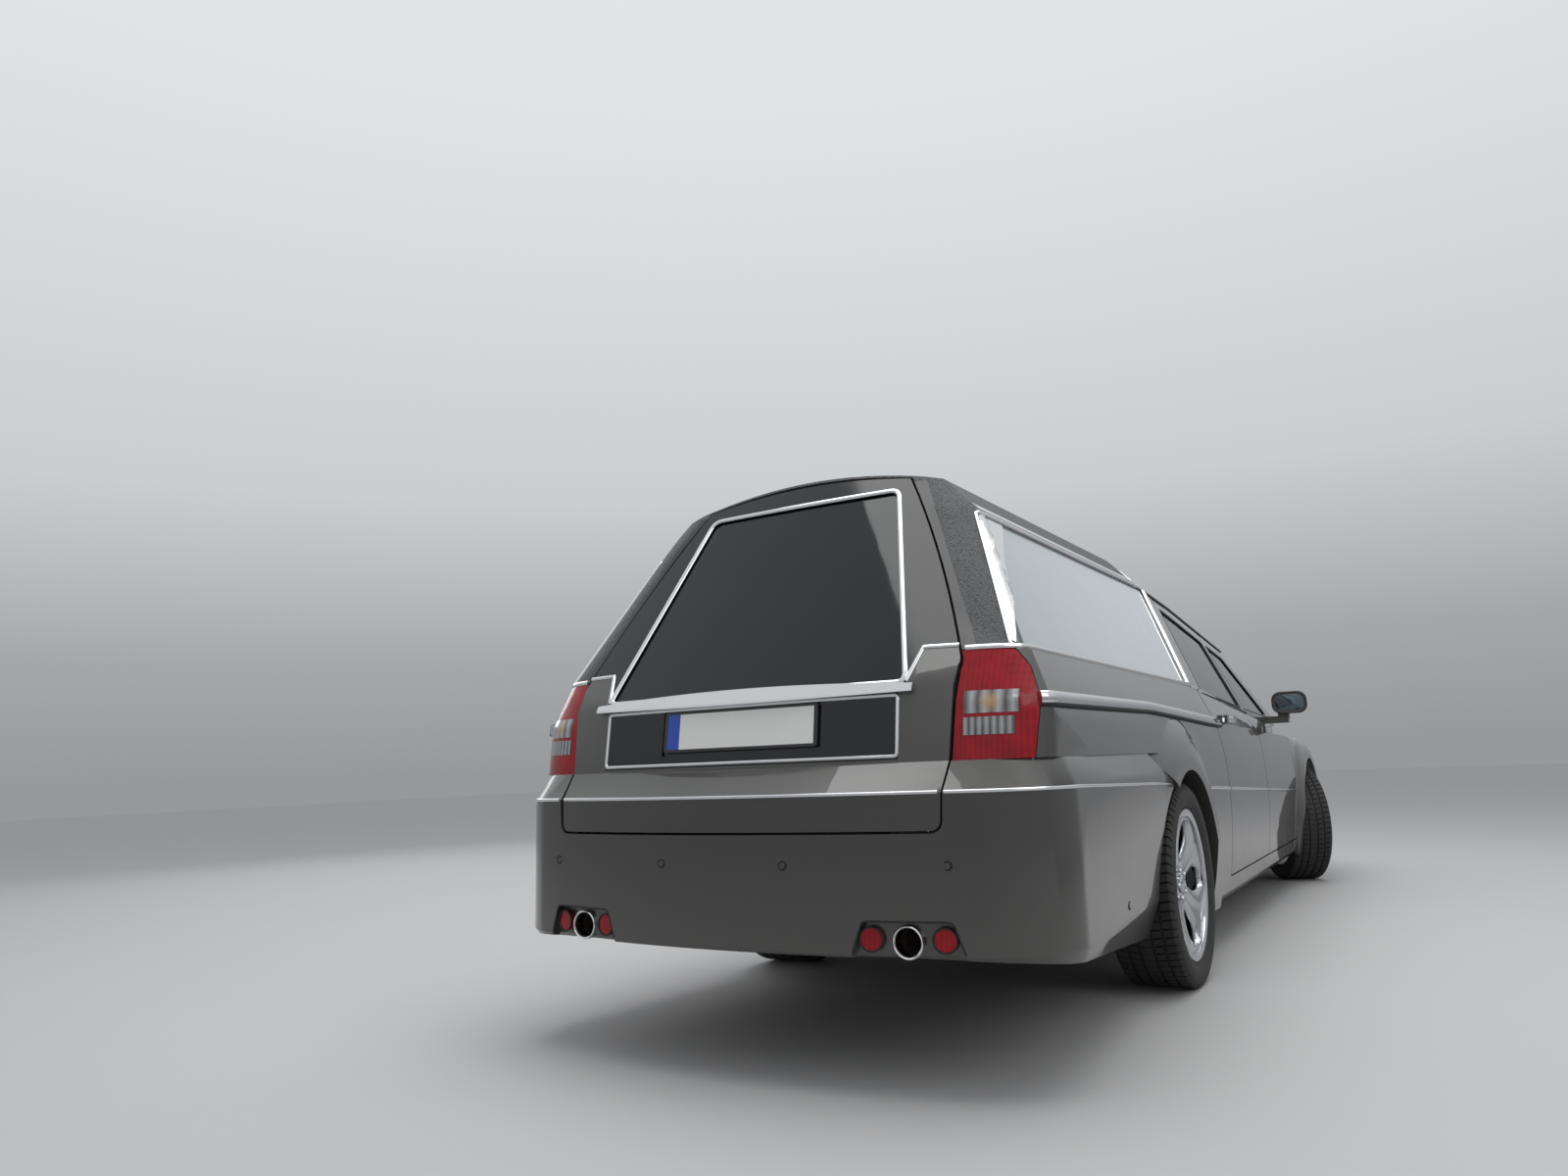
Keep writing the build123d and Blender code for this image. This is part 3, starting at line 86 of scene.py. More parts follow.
# Slot that goes with a finish
SLOTS = {
    "chrome": "chrome", "satin": "chrome", "mirror": "chrome", "paint": "body_paint", "rubber": "trim_plastic",
    "plastic": "trim_plastic", "clear": "lamp_clear", "ribbed": "lamp_clear", "tyre": "tyre_rubber",
    "wheel": "wheel_chrome", "brake": "cast_grey", "leather": "seat_leather",
}

# Lower body: station, sill y, waist y, waist z, shoulder y, shoulder z, belt y, belt z
LOWER = np.array([
    (-0.020, 0.872, 0.914, 0.640, 0.894, 1.005, 0.838, 1.142),
    (2.400, 0.872, 0.914, 0.640, 0.894, 0.980, 0.838, 1.122),
    (4.880, 0.872, 0.916, 0.610, 0.892, 0.915, 0.802, 1.003),
    (5.600, 0.868, 0.908, 0.600, 0.880, 0.850, 0.772, 0.930),
    (6.330, 0.850, 0.880, 0.560, 0.850, 0.740, 0.700, 0.800),
])
# Cabin: station, belt y, belt z, rail y, rail z, haunch y, haunch z, crown z
CABIN = np.array([
    (-0.020, 0.832, 1.142, 0.620, 1.612, 0.500, 1.736, 1.806),
    (2.500, 0.832, 1.130, 0.620, 1.612, 0.500, 1.738, 1.802),
    (3.100, 0.831, 1.096, 0.620, 1.572, 0.500, 1.686, 1.758),
    (3.771, 0.830, 1.060, 0.620, 1.511, 0.500, 1.598, 1.668),
    (4.460, 0.826, 1.030, 0.618, 1.450, 0.500, 1.500, 1.545),
    (5.300, 0.822, 1.000, 0.600, 1.440, 0.500, 1.470, 1.500),
])
# Rear ends in plan: z, centre station, corner start (station, y), middle (station, y), end (station, y)
TAIL = np.array([
    (0.200, 0.102, 0.148, 0.650, 0.190, 0.812, 0.300, 0.900),
    (0.845, 0.102, 0.148, 0.650, 0.190, 0.812, 0.300, 0.900),
    (1.005, 0.125, 0.172, 0.650, 0.210, 0.806, 0.312, 0.900),
    (1.142, 0.186, 0.232, 0.650, 0.266, 0.772, 0.345, 0.842),
    (1.620, 0.481, 0.506, 0.470, 0.536, 0.566, 0.615, 0.626),
    (1.830, 0.611, 0.630, 0.350, 0.655, 0.450, 0.730, 0.540),
])
# Rear bumper: the same columns, then the half width at its front end
BUMPER = np.array([
    (0.225, 0.075, 0.165, 0.715, 0.240, 0.815, 0.385, 0.872, 0.822),
    (0.355, 0.000, 0.092, 0.750, 0.176, 0.868, 0.330, 0.940, 0.868),
    (0.765, 0.005, 0.097, 0.750, 0.180, 0.867, 0.335, 0.938, 0.925),
    (0.845, 0.102, 0.140, 0.690, 0.200, 0.818, 0.350, 0.904, 0.904),
])
BUMPER_FRONT = 1.600
# Planes 12 to 25 mm inside the cabin's outer skin: x, |y| and z multipliers, and the least sum outside
OUTSIDE_PLANES = (
    (0, 1, 0.451, 1.317),
    (0, 1, 0.968, 2.160),
    (0, 0.14, 1, 1.790),
    (-0.663, 0.748, 0.697, 3.274),
    (-0.963, 0.2685, 0.653, 3.723),
    (-0.9975, 0.0706, 0.6157, 3.653),
)
# Tailgate skin in plan: z, centre station, station at GATE_EDGE
GATE_EDGE = 0.700
GATE = np.array([
    (0.600, 0.002, 0.086),
    (0.765, 0.005, 0.091),
    (0.845, 0.102, 0.143),
    (1.045, 0.132, 0.173),
    (1.830, 0.616, 0.657),
])
GATE_WINDOW = np.array([(-0.530, 1.064), (-0.362, 1.714), (0.362, 1.714), (0.530, 1.064)])
QUARTER_WINDOW = np.array([(0.292, 1.150), (2.392, 1.140), (2.598, 1.604), (0.566, 1.604)])
FRONT_WINDOW = np.array([(3.806, 1.062), (4.690, 1.034), (4.535, 1.185), (4.270, 1.380), (3.806, 1.425)])
REAR_WINDOW = np.array([(2.640, 1.112), (3.700, 1.066), (3.700, 1.432), (3.100, 1.495), (2.800, 1.528)])


# ---------------------------------------------------------------- surface formulas

def fore(station):
    """X of a station."""
    return station - LENGTH / 2


def spot(station, y, z):
    """Points of the car at stations, widths and heights, spread to one shape."""
    return np.stack(np.broadcast_arrays(fore(station), y, z), -1)


def around(count):
    """Angles of one full turn."""
    return np.linspace(0, 2 * np.pi, count, endpoint=False)


def column(rows, at, index):
    """A column of a table, read linearly at the given stations or heights."""
    return np.interp(at, rows[:, 0], rows[:, index])


def circle_through(a, b, c):
    """Centre and radius of the circle through three points, each a pair of arrays."""
    twice = 2 * (a[0] * (b[1] - c[1]) + b[0] * (c[1] - a[1]) + c[0] * (a[1] - b[1]))
    squares = [p[0] ** 2 + p[1] ** 2 for p in (a, b, c)]
    x = (squares[0] * (b[1] - c[1]) + squares[1] * (c[1] - a[1]) + squares[2] * (a[1] - b[1])) / twice
    y = (squares[0] * (c[0] - b[0]) + squares[1] * (a[0] - c[0]) + squares[2] * (b[0] - a[0])) / twice
    return x, y, np.hypot(a[0] - x, a[1] - y)


def side_y(station, z):
    """Half width of the lower body: an arc from sill to shoulder, then a straight slope to the belt."""
    station, z = np.broadcast_arrays(np.asarray(station, float), np.asarray(z, float))
    sill, waist, waist_z, shoulder, shoulder_z, belt, belt_z = (column(LOWER, station, k) for k in range(1, 8))
    foot = (sill, np.full_like(z, FLOOR_SILL_Z))
    y0, z0, radius = circle_through(foot, (waist, waist_z), (shoulder, shoulder_z))
    arc = y0 + np.sqrt(np.maximum(radius**2 - (z - z0) ** 2, 0))
    slope = shoulder + (belt - shoulder) * (z - shoulder_z) / (belt_z - shoulder_z)
    return np.where(z <= shoulder_z, arc, slope)


def cabin_y(station, z):
    """Half width of the cabin side: straight from the belt to the roof rail."""
    belt, belt_z, rail, rail_z = (column(CABIN, station, k) for k in range(1, 5))
    return belt + (rail - belt) * (z - belt_z) / (rail_z - belt_z)


def roof_z(station, y):
    """Height of the roof: an arc between the haunches, a slope from haunch to rail."""
    rail, rail_z, haunch, haunch_z, crown = (column(CABIN, station, k) for k in range(3, 8))
    y = np.abs(y)
    arc = crown - (crown - haunch_z) * (y / haunch) ** 2
    slope = haunch_z + (rail_z - haunch_z) * (y - haunch) / (rail - haunch)
    return np.where(y <= haunch, arc, slope)


def corner_arc(rows, z):
    """A rounded rear end's corner in plan: its start and its end as (station, y), and its circle."""
    start, middle, end = ((column(rows, z, k), column(rows, z, k + 1)) for k in (2, 4, 6))
    return start, end, circle_through(start, middle, end)


def end_station(rows, y, z):
    """Station of a rounded rear end: an arc across the car, then a corner arc."""
    y, z = np.broadcast_arrays(np.abs(np.asarray(y, float)), np.asarray(z, float))
    (start_x, start_y), _, (x1, y1, corner_radius) = corner_arc(rows, z)
    centre = (column(rows, z, 1), np.zeros_like(y))
    x0, y0, radius = circle_through((start_x, -start_y), centre, (start_x, start_y))
    across = x0 - np.sqrt(np.maximum(radius**2 - (y - y0) ** 2, 0))
    corner = x1 - np.sqrt(np.maximum(corner_radius**2 - (y - y1) ** 2, 0))
    return np.where(y <= start_y, across, corner)


def rear_corner(station, z):
    """Half width on the tail's corner arc, its outward direction in plan, and where the arc is the outer skin."""
    _, (end_x, _), (x0, y0, radius) = corner_arc(TAIL, z)
    reach = np.sqrt(np.maximum(radius**2 - (station - x0) ** 2, 0))
    return y0 + reach, np.stack([(station - x0) / radius, reach / radius], -1), station < end_x


def skin_normals(stations, heights, side, rise):
    """Outward directions along the side, turning with the rear corner; rise is their part upwards."""
    stations, heights = np.broadcast_arrays(stations, heights)
    _, away, rounded = rear_corner(stations, heights)
    plan = np.where(rounded[:, None], away, (0.0, 1.0))
    return np.stack([plan[:, 0], side * plan[:, 1], np.full(len(plan), rise)], 1)


def bumper_y(station, z):
    """Half width of the rear bumper's side: straight from its corner to its front end."""
    end_x, end_y, front_y = (column(BUMPER, z, k) for k in (6, 7, 8))
    return end_y + (front_y - end_y) * (station - end_x) / (BUMPER_FRONT - end_x)


def gate_station(y, z):
    """Station of the tailgate's skin: one arc across the car at each height."""
    centre, edge = column(GATE, z, 1), column(GATE, z, 2)
    sagitta = edge - centre
    radius = (GATE_EDGE**2 + sagitta**2) / (2 * sagitta)
    return centre + radius - np.sqrt(radius**2 - np.asarray(y, float) ** 2)


def plan_path(rows, z, side, count):
    """Path round one rear corner at one height: evenly along the corner arc's turn, as (station, y)."""
    (start_x, start_y), (end_x, end_y), (x0, y0, radius) = corner_arc(rows, z)
    first, last = np.arctan2(start_y - y0, start_x - x0), np.arctan2(end_y - y0, end_x - x0)
    if first < 0:
        first += 2 * np.pi
    turn = np.linspace(first, last, count)
    return np.stack([x0 + radius * np.cos(turn), side * (y0 + radius * np.sin(turn))], 1)


def rounded_outline(corners, reach, steps=6):
    """Closed outline with each corner cut back by reach and bent by a quadratic curve."""
    corners = np.asarray(corners, float)
    before, after = np.roll(corners, 1, 0) - corners, np.roll(corners, -1, 0) - corners
    start = corners + before / np.linalg.norm(before, axis=1, keepdims=True) * reach
    end = corners + after / np.linalg.norm(after, axis=1, keepdims=True) * reach
    t = np.linspace(0, 1, steps)[None, :, None]
    bent = (1 - t) ** 2 * start[:, None] + 2 * t * (1 - t) * corners[:, None] + t**2 * end[:, None]
    return bent.reshape(-1, 2)


def fill_in(points, spacing):
    """The path through the points with more points on its long runs, at about the given spacing."""
    points = np.asarray(points, float)
    length = np.r_[0, np.cumsum(np.linalg.norm(np.diff(points, axis=0), axis=1))]
    extra = np.linspace(0, length[-1], max(2, int(length[-1] / spacing)))
    along = np.unique(np.round(np.r_[length, extra], 6))
    return np.stack([np.interp(along, length, points[:, k]) for k in range(points.shape[1])], 1)


def loop(corners, reach, spacing):
    """Closed outline through rounded corners, with points at about the given spacing and no repeated end."""
    outline = rounded_outline(corners, reach)
    return fill_in(np.vstack([outline, outline[:1]]), spacing)[:-1]


def bend(wave, power):
    """A cosine or sine drawn out towards a square: sign * |wave| ** power."""
    return np.sign(wave) * np.abs(wave) ** power


# ---------------------------------------------------------------- meshes

def make_piece(name, shape, body, finish, sharp=35.0, slot=None):
    """A mesh from points and faces, cleaned and shaded smooth up to the sharp angle, on its body and in its finish.
    The slot, the one given or else the one that goes with the finish, is looked up but not used."""
    points, faces = shape
    slot = slot or SLOTS[finish]
    mesh = bpy.data.meshes.new(name)
    mesh.from_pydata(np.asarray(points, float).reshape(-1, 3).tolist(), [], faces)
    clean = bmesh.new()
    clean.from_mesh(mesh)
    bmesh.ops.remove_doubles(clean, verts=clean.verts, dist=1e-6)
    bmesh.ops.recalc_face_normals(clean, faces=clean.faces)
    clean.to_mesh(mesh)
    clean.free()
    mesh.polygons.foreach_set("use_smooth", np.ones(len(mesh.polygons), bool))
    mesh.set_sharp_from_angle(angle=np.radians(sharp))
    piece = bpy.data.objects.new(name, mesh)
    bpy.context.scene.collection.objects.link(piece)
    mesh.materials.append(FINISH[finish])
    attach(piece, body)
    return piece


def grid_faces(rows, columns, close_rows=False, close_columns=False, first=0):
    """Four-cornered faces of a grid of points, wrapped round in either direction."""
    i = np.arange(rows if close_rows else rows - 1)[:, None]
    j = np.arange(columns if close_columns else columns - 1)[None, :]
    i2, j2 = (i + 1) % rows, (j + 1) % columns
    corners = [i * columns + j, i2 * columns + j, i2 * columns + j2, i * columns + j2]
    faces = np.stack(np.broadcast_arrays(*corners), -1).reshape(-1, 4)
    return (faces + first).tolist()


def join_grids(grids):
    """Points and faces of several grids: each is (points, close_rows, close_columns, capped)."""
    points, faces, first = [], [], 0
    for grid, close_rows, close_columns, capped in grids:
        rows, columns = grid.shape[:2]
        faces += grid_faces(rows, columns, close_rows, close_columns, first)
        if capped:
            faces.append(list(range(first, first + columns)))
            faces.append(list(range(first + (rows - 1) * columns, first + rows * columns)))
        points.append(grid.reshape(-1, 3))
        first += rows * columns
    return np.concatenate(points), faces


def carried(path, normals, profile, closed=False):
    """A profile of (across, out) pairs carried along a path: P + across * (T x N) + out * N."""
    path, profile = np.asarray(path, float), np.asarray(profile, float)
    normals = np.broadcast_to(np.asarray(normals, float), path.shape)
    if closed:
        tangent = np.roll(path, -1, 0) - np.roll(path, 1, 0)
    else:
        tangent = np.gradient(path, axis=0)
    tangent = tangent / np.linalg.norm(tangent, axis=1, keepdims=True)
    out = normals - (normals * tangent).sum(1, keepdims=True) * tangent
    out = out / np.linalg.norm(out, axis=1, keepdims=True)
    across = np.cross(tangent, out)
    return path[:, None] + profile[None, :, :1] * across[:, None] + profile[None, :, 1:] * out[:, None]


def bead(width, height, sink=0.001, steps=7):
    """Half-round trim section: an ellipse arc on a flat foot sunk into what carries it."""
    t = np.linspace(0, np.pi, steps)
    arc = np.stack([width / 2 * np.cos(t), height * np.sin(t) ** 0.7], 1)
    return np.concatenate([[(width / 2, -sink)], arc, [(-width / 2, -sink)]])


def trim(name, path, normals, width, height, body="body", finish="chrome", closed=False, sink=0.001):
    """A half-round trim along a path, closed or with its ends capped."""
    grid = carried(path, normals, bead(width, height, sink), closed)
    make_piece(name, join_grids([(grid, closed, True, not closed)]), body, finish, 50)


def turned(profile, steps, centre=(0, 0, 0), axis="y", side=1):
    """A profile of (radius, along) pairs turned round the X or Y axis through centre, side turns it about."""
    profile = np.asarray(profile, float)
    t = around(steps)[:, None]
    radius, along = profile[None, :, 0], side * profile[None, :, 1] + 0 * t
    a, b = radius * np.cos(t), radius * np.sin(t)
    order = (along, a, b) if axis == "x" else (a, along, b)
    return np.stack(order, -1) + np.asarray(centre, float)


def thin_plate(face, depth):
    """A closed plate: a grid of points, the same grid moved by depth, and the border between them."""
    rows, columns = face.shape[:2]
    total = rows * columns
    border = np.r_[
        np.arange(columns),
        np.arange(1, rows) * columns + columns - 1,
        (rows - 1) * columns + np.arange(columns - 2, -1, -1),
        np.arange(rows - 2, 0, -1) * columns,
    ]
    following = np.roll(border, -1)
    rim = np.stack([border, following, following + total, border + total], 1).tolist()
    faces = grid_faces(rows, columns) + grid_faces(rows, columns, first=total) + rim
    return np.concatenate([face.reshape(-1, 3), (face + np.asarray(depth, float)).reshape(-1, 3)]), faces


def pillow(centre, half, power=0.3, lean=0.0, rows=24, columns=40):
    """Points and faces of a superellipsoid: each coordinate is half * sign * |cos or sin| ** power, leaned about Y."""
    v = np.linspace(-np.pi / 2, np.pi / 2, rows)[:, None]
    u = np.linspace(-np.pi, np.pi, columns, endpoint=False)[None, :]
    x = half[0] * bend(np.cos(v), power) * bend(np.cos(u), power)
    y = half[1] * bend(np.cos(v), power) * bend(np.sin(u), power)
    z = half[2] * bend(np.sin(v), power) + 0 * u
    points = np.stack([x * np.cos(lean) + z * np.sin(lean), y, z * np.cos(lean) - x * np.sin(lean)], -1)
    return join_grids([(points + np.asarray(centre, float), False, True, False)])


# ---------------------------------------------------------------- materials

class Wire:
    """A shader socket whose arithmetic adds Math nodes."""

    def __init__(self, nodes, socket):
        self.nodes = nodes
        self.socket = socket

    def math(self, operation, *values):
        return self.nodes.add("ShaderNodeMath", {"operation": operation}, dict(enumerate(values)))

    def __radd__(self, other):
        return self.math("ADD", other, self)

    def __rsub__(self, other):
        return self.math("SUBTRACT", other, self)

    def fold(self):
        """To and fro between 0 and 1."""
        return self.math("PINGPONG", self, 1.0)


# The wire's other methods: each adds one Math node with the wire as its first value
for method, operation in {
    "__add__": "ADD", "__sub__": "SUBTRACT", "__mul__": "MULTIPLY", "above": "GREATER_THAN", "below": "LESS_THAN",
    "most": "MAXIMUM", "least": "MINIMUM", "size": "ABSOLUTE", "root": "SQRT", "fraction": "FRACT",
}.items():
    setattr(Wire, method, lambda wire, *values, kind=operation: wire.math(kind, wire, *values))


class Nodes:
    """A node tree whose nodes are added as wires."""

    def __init__(self, tree):
        self.tree = tree

    def add(self, kind, settings=None, sockets=None, out=0):
        """One node, its settings and its linked or constant sockets; the wire is the output asked for."""
        node = self.tree.nodes.new(kind)
        for key, value in (settings or {}).items():
            setattr(node, key, value)
        for key, value in (sockets or {}).items():
            if isinstance(value, Wire):
                self.tree.links.new(value.socket, node.inputs[key])
            else:
                node.inputs[key].default_value = value
        return Wire(self, node.outputs[out])

    def blend(self, amount, first, second):
        colours = [(*c, 1) if isinstance(c, tuple) else c for c in (first, second)]
        return self.add("ShaderNodeMix", {"data_type": "RGBA"}, {0: amount, 6: colours[0], 7: colours[1]}, out=2)


class Shader(Nodes):
    """A material with one Principled surface and the nodes that feed it."""

    def __init__(self, name, color, **plain):
        self.material = bpy.data.materials.new(name)
        self.material.use_nodes = True
        super().__init__(self.material.node_tree)
        self.surface = self.tree.nodes["Principled BSDF"]
        self.surface.inputs["Base Color"].default_value = (*color, 1)
        self.material.diffuse_color = (*color, 1)
        for key, value in plain.items():
            self.surface.inputs[key.replace("_", " ")].default_value = value

    def feed(self, name, wire):
        self.tree.links.new(wire.socket, self.surface.inputs[name])

    def place(self):
        return self.add("ShaderNodeTexCoord", out=3)

    def axes(self):
        node = self.add("ShaderNodeSeparateXYZ", sockets={0: self.place()})
        return [Wire(self, socket) for socket in node.socket.node.outputs]

    def noise(self, scale, detail=2.0, stretch=(1, 1, 1)):
        spread = self.add("ShaderNodeMapping", sockets={"Vector": self.place(), "Scale": stretch})
        return self.add("ShaderNodeTexNoise", sockets={"Vector": spread, "Scale": scale, "Detail": detail})

    def cells(self, scale, feature="F1"):
        return self.add("ShaderNodeTexVoronoi", {"feature": feature}, {"Vector": self.place(), "Scale": scale})

    def finished(self, color, roughness, height, strength, distance):
        """Feed colour, roughness and a bump of the given height, and hand over the material."""
        self.feed("Base Color", color)
        self.feed("Roughness", roughness)
        sockets = {"Height": height, "Strength": strength, "Distance": distance}
        self.feed("Normal", self.add("ShaderNodeBump", sockets=sockets))
        return self.material


def tone(color, factor):
    """The colour made lighter or darker by a factor."""
    return tuple(min(1.0, c * factor) for c in color)


def make_paint(name, color, cheeks=False):
    """Metallic clear coat with flakes and road film low down. Where cheeks is set, gloss black round the window,
    above a line that climbs outwards from the window's foot, and on the panel behind the plate."""
    shader = Shader(name, color, Metallic=0.5, Roughness=0.36, Coat_Weight=0.9, Coat_Roughness=0.02)
    flakes = shader.cells(900.0)
    _, y, z = shader.axes()
    film_top = 0.62
    film = shader.noise(9.0, 4.0) * ((film_top - z) * 2.2).most(0.0)
    flecked = shader.blend(flakes * 0.35, color, tone(color, 1.6))
    look = shader.blend(film.least(0.35), flecked, (0.085, 0.078, 0.070))
    roughness = 0.30 + flakes * 0.08 + film * 0.08
    if cheeks:
        foot_y, foot_z, climb, edge_top = 0.530, 1.066, 3.03, 1.162
        panel_y, panel_low, panel_high = 0.515, 0.852, 1.05
        edge = (foot_z + (y.size() - foot_y) * climb).least(edge_top).most(panel_high)
        panel = z.above(panel_low) * z.below(panel_high) * y.size().below(panel_y)
        black = (z - edge).above(0.0).most(panel)
        look = shader.blend(black, look, GLOSS_BLACK)
        shader.feed("Metallic", 0.5 - black * 0.5)
        shader.feed("Coat Weight", 0.9 - black * 0.9)
        roughness = roughness - black * 0.24
    return shader.finished(look, roughness, shader.noise(60.0, 1.0), 0.02, 0.002)


def make_vinyl(name, color, paint):
    """Grained vinyl with cells about 6 mm across, a gloss black strip beside the tailgate, painted metal forward of
    the chrome hoop and pale lining inside."""
    shader = Shader(name, color, Coat_Roughness=0.05)
    x, y, z = shader.axes()
    grain = shader.cells(170.0, "SMOOTH_F1")
    patches = shader.noise(14.0, 3.0)
    vinyl = shader.blend(grain * 1.5, tone(color, 2.6), tone(color, 0.30))
    vinyl = shader.blend(patches * 0.35, vinyl, tone(color, 1.3))
    hoop_x, hoop_z, hoop_lean = 0.53, 1.6, 0.46
    front = (x - (z - hoop_z) * hoop_lean + hoop_x).above(0.0)
    strip_y, strip_z, strip_lean, strip_top = 0.697, 1.188, 0.447, 1.737
    strip = z.below(strip_top) * (y.size() + (z - strip_z) * strip_lean).below(strip_y) * (1 - front)
    outside = front
    for along, across, up, least in OUTSIDE_PLANES:
        outside = outside.most((x * along + y.size() * across + z * up).above(least))
    coloured = shader.blend(strip, shader.blend(front, vinyl, paint), GLOSS_BLACK)
    lining = shader.blend(patches, (0.42, 0.42, 0.41), (0.52, 0.52, 0.51))
    glossy = front.most(strip) * outside
    shader.feed("Metallic", front * 0.5)
    shader.feed("Coat Weight", front)
    roughness = 0.62 - front * 0.30 - strip * 0.52 + (1 - outside) * 0.2
    relief = (1 - glossy) * outside * grain
    return shader.finished(shader.blend(outside, lining, coloured), roughness, relief, 0.8, 0.002)


def make_chrome(name, color, roughness=0.06):
    """Polished metal with faint wipe marks and water spots."""
    shader = Shader(name, color, Metallic=1.0)
    marks = shader.noise(9.0, 3.0, (1, 1, 3))
    dull = roughness + marks * 0.05 + shader.cells(120.0).below(0.10) * 0.10
    look = shader.blend(marks * 0.5, color, tone(color, 0.85))
    return shader.finished(look, dull, shader.noise(14.0, 1.0), 0.02, 0.002)


def make_glass(name, color, clear, film=0.0):
    """Glass that lets the clear share of the light through, with faint wipe marks and, where film is set, panes
    behind the cabin that mirror more at a glancing view. There their colour is also blended to a pale sky tint and
    made more opaque: a painted sky reflection on top of the real mirroring."""
    shader = Shader(name, color, IOR=1.5)
    marks = shader.noise(7.0, 6.0, (1, 1, 0.3))
    shader.feed("Roughness", 0.015 + marks * 0.05)
    alpha = 1.0 - clear
    if film:
        glance = shader.add("ShaderNodeLayerWeight", sockets={"Blend": 0.5}, out=1)
        glance_mirror_and_painted_sky = shader.axes()[0].below(0.0) * glance * glance
        shader.feed("Metallic", glance_mirror_and_painted_sky * film)
        # Painted sky reflection: at a glancing view the pane's colour is blended to a pale blue-grey and, below, its
        # alpha is raised, standing in for the sky it mirrors
        shader.feed("Base Color", shader.blend(glance_mirror_and_painted_sky * 1.3, color, (0.72, 0.79, 0.83)))
        alpha = alpha + glance_mirror_and_painted_sky * clear
    shader.feed("Alpha", alpha + marks * 0.06)
    shader.material.surface_render_method = "BLENDED"
    return shader.material


def make_tyre(name):
    """Matt rubber with dust in its pores."""
    shader = Shader(name, (0.018, 0.018, 0.019), Roughness=0.78)
    dust = shader.noise(24.0, 5.0)
    look = shader.blend(dust * 0.6, (0.012, 0.012, 0.013), (0.05, 0.047, 0.043))
    return shader.finished(look, 0.66 + dust * 0.25, shader.noise(420.0, 2.0), 0.25, 0.001)


def make_coated(name, color, roughness, grain=260.0, depth=0.0008, metal=0.0):
    """Moulded, cast or coated surface: fine grain, and light and dark patches."""
    shader = Shader(name, color, Metallic=metal)
    look = shader.blend(shader.noise(11.0, 4.0), tone(color, 0.7), tone(color, 1.6))
    pores = shader.noise(grain, 3.0)
    return shader.finished(look, (roughness - 0.08) + pores * 0.18, pores, 0.35, depth)


def make_leather(name, color):
    """Upholstery leather: creased cells and a soft sheen."""
    shader = Shader(name, color, Coat_Weight=0.15, Coat_Roughness=0.3)
    creases = shader.cells(230.0, "DISTANCE_TO_EDGE")
    worn = shader.noise(6.0, 4.0)
    look = shader.blend(worn, tone(color, 0.75), tone(color, 1.5))
    return shader.finished(look, 0.40 + worn * 0.2, creases.least(0.12), 0.5, 0.0012)


def make_wood(name, color):
    """Varnished boards: long grain lines, 6.9 boards to the metre."""
    shader = Shader(name, color, Coat_Weight=0.8, Coat_Roughness=0.08)
    grain = shader.noise(9.0, 8.0, (1, 14, 1))
    boards, gap = 6.9, 0.03
    joint = (shader.axes()[1] * boards).fraction().below(gap)
    grained = shader.blend(grain, tone(color, 0.55), tone(color, 1.9))
    look = shader.blend(joint, grained, (0.01, 0.007, 0.005))
    return shader.finished(look, 0.3 + grain * 0.2, grain - joint * 0.8, 0.25, 0.001)


def make_lens(name, color, dark):
    """Moulded lamp lens: vertical prisms behind a glossy skin, deeper colour in patches."""
    shader = Shader(name, color, Coat_Weight=0.15, Coat_Roughness=0.02, Specular_IOR_Level=0.3)
    _, y, z = shader.axes()
    prisms, tiers = (y * 150.0).fold(), (z * 95.0).fold()
    look = shader.blend(shader.noise(16.0, 2.0) * 0.8 + prisms * 0.25, color, dark)
    return shader.finished(look, 0.08 + tiers * 0.10, prisms * 0.6 + tiers * 0.4, 0.06, 0.001)


def make_reflector(name, color, dark, pitch, glow=0.0):
    """Silvered lamp chamber seen through clear plastic: dark ribs at the given pitch per metre, and an amber glow
    of the given strength round the bulb."""
    shader = Shader(name, color, Metallic=0.75, Coat_Weight=1.0, Coat_Roughness=0.02)
    _, y, z = shader.axes()
    ribs = (y * pitch).fold()
    shade = shader.noise(22.0, 2.0)
    bulb_y, bulb_z = 0.762, 0.997
    across, up = y.size() - bulb_y, z - bulb_z
    near = (1 - (across * across + up * up).root() * 30.0).most(0.0)
    silver = shader.blend((ribs * 0.8 + shade * 0.4) - 0.2, dark, color)
    look = shader.blend(near * glow, silver, (0.52, 0.30, 0.12))
    return shader.finished(look, 0.12 + shade * 0.12, ribs, 0.3, 0.002)


def make_headlamp(name):
    """Headlamp behind clear plastic: a dark chamber and two silver bowls with a bulb in each."""
    shader = Shader(name, (0.3, 0.3, 0.31), Metallic=0.7, Coat_Weight=1.0, Coat_Roughness=0.02)
    _, y, z = shader.axes()
    shade = shader.noise(18.0, 2.0)
    look = shader.blend(shade, (0.05, 0.05, 0.055), (0.16, 0.16, 0.17))
    lamp_z, bulb, rim = 0.714, 0.014, 0.004
    for middle, reach in ((0.560, 0.066), (0.720, 0.058)):
        across, up = y.size() - middle, z - lamp_z
        far = (across * across + up * up).root()
        bowl = shader.blend((far * 95.0).fold() * 0.6 + shade * 0.3, (0.72, 0.73, 0.75), (0.20, 0.20, 0.21))
        look = shader.blend(far.below(reach), look, bowl)
        look = shader.blend(far.above(reach - rim) * far.below(reach), look, (0.80, 0.80, 0.81))
        look = shader.blend(far.below(bulb), look, (0.85, 0.84, 0.80))
    indicator_y = 0.800
    look = shader.blend(y.size().above(indicator_y) * 0.8, look, (0.46, 0.24, 0.08))
    return shader.finished(look, 0.10 + shade * 0.12, shade, 0.05, 0.001)


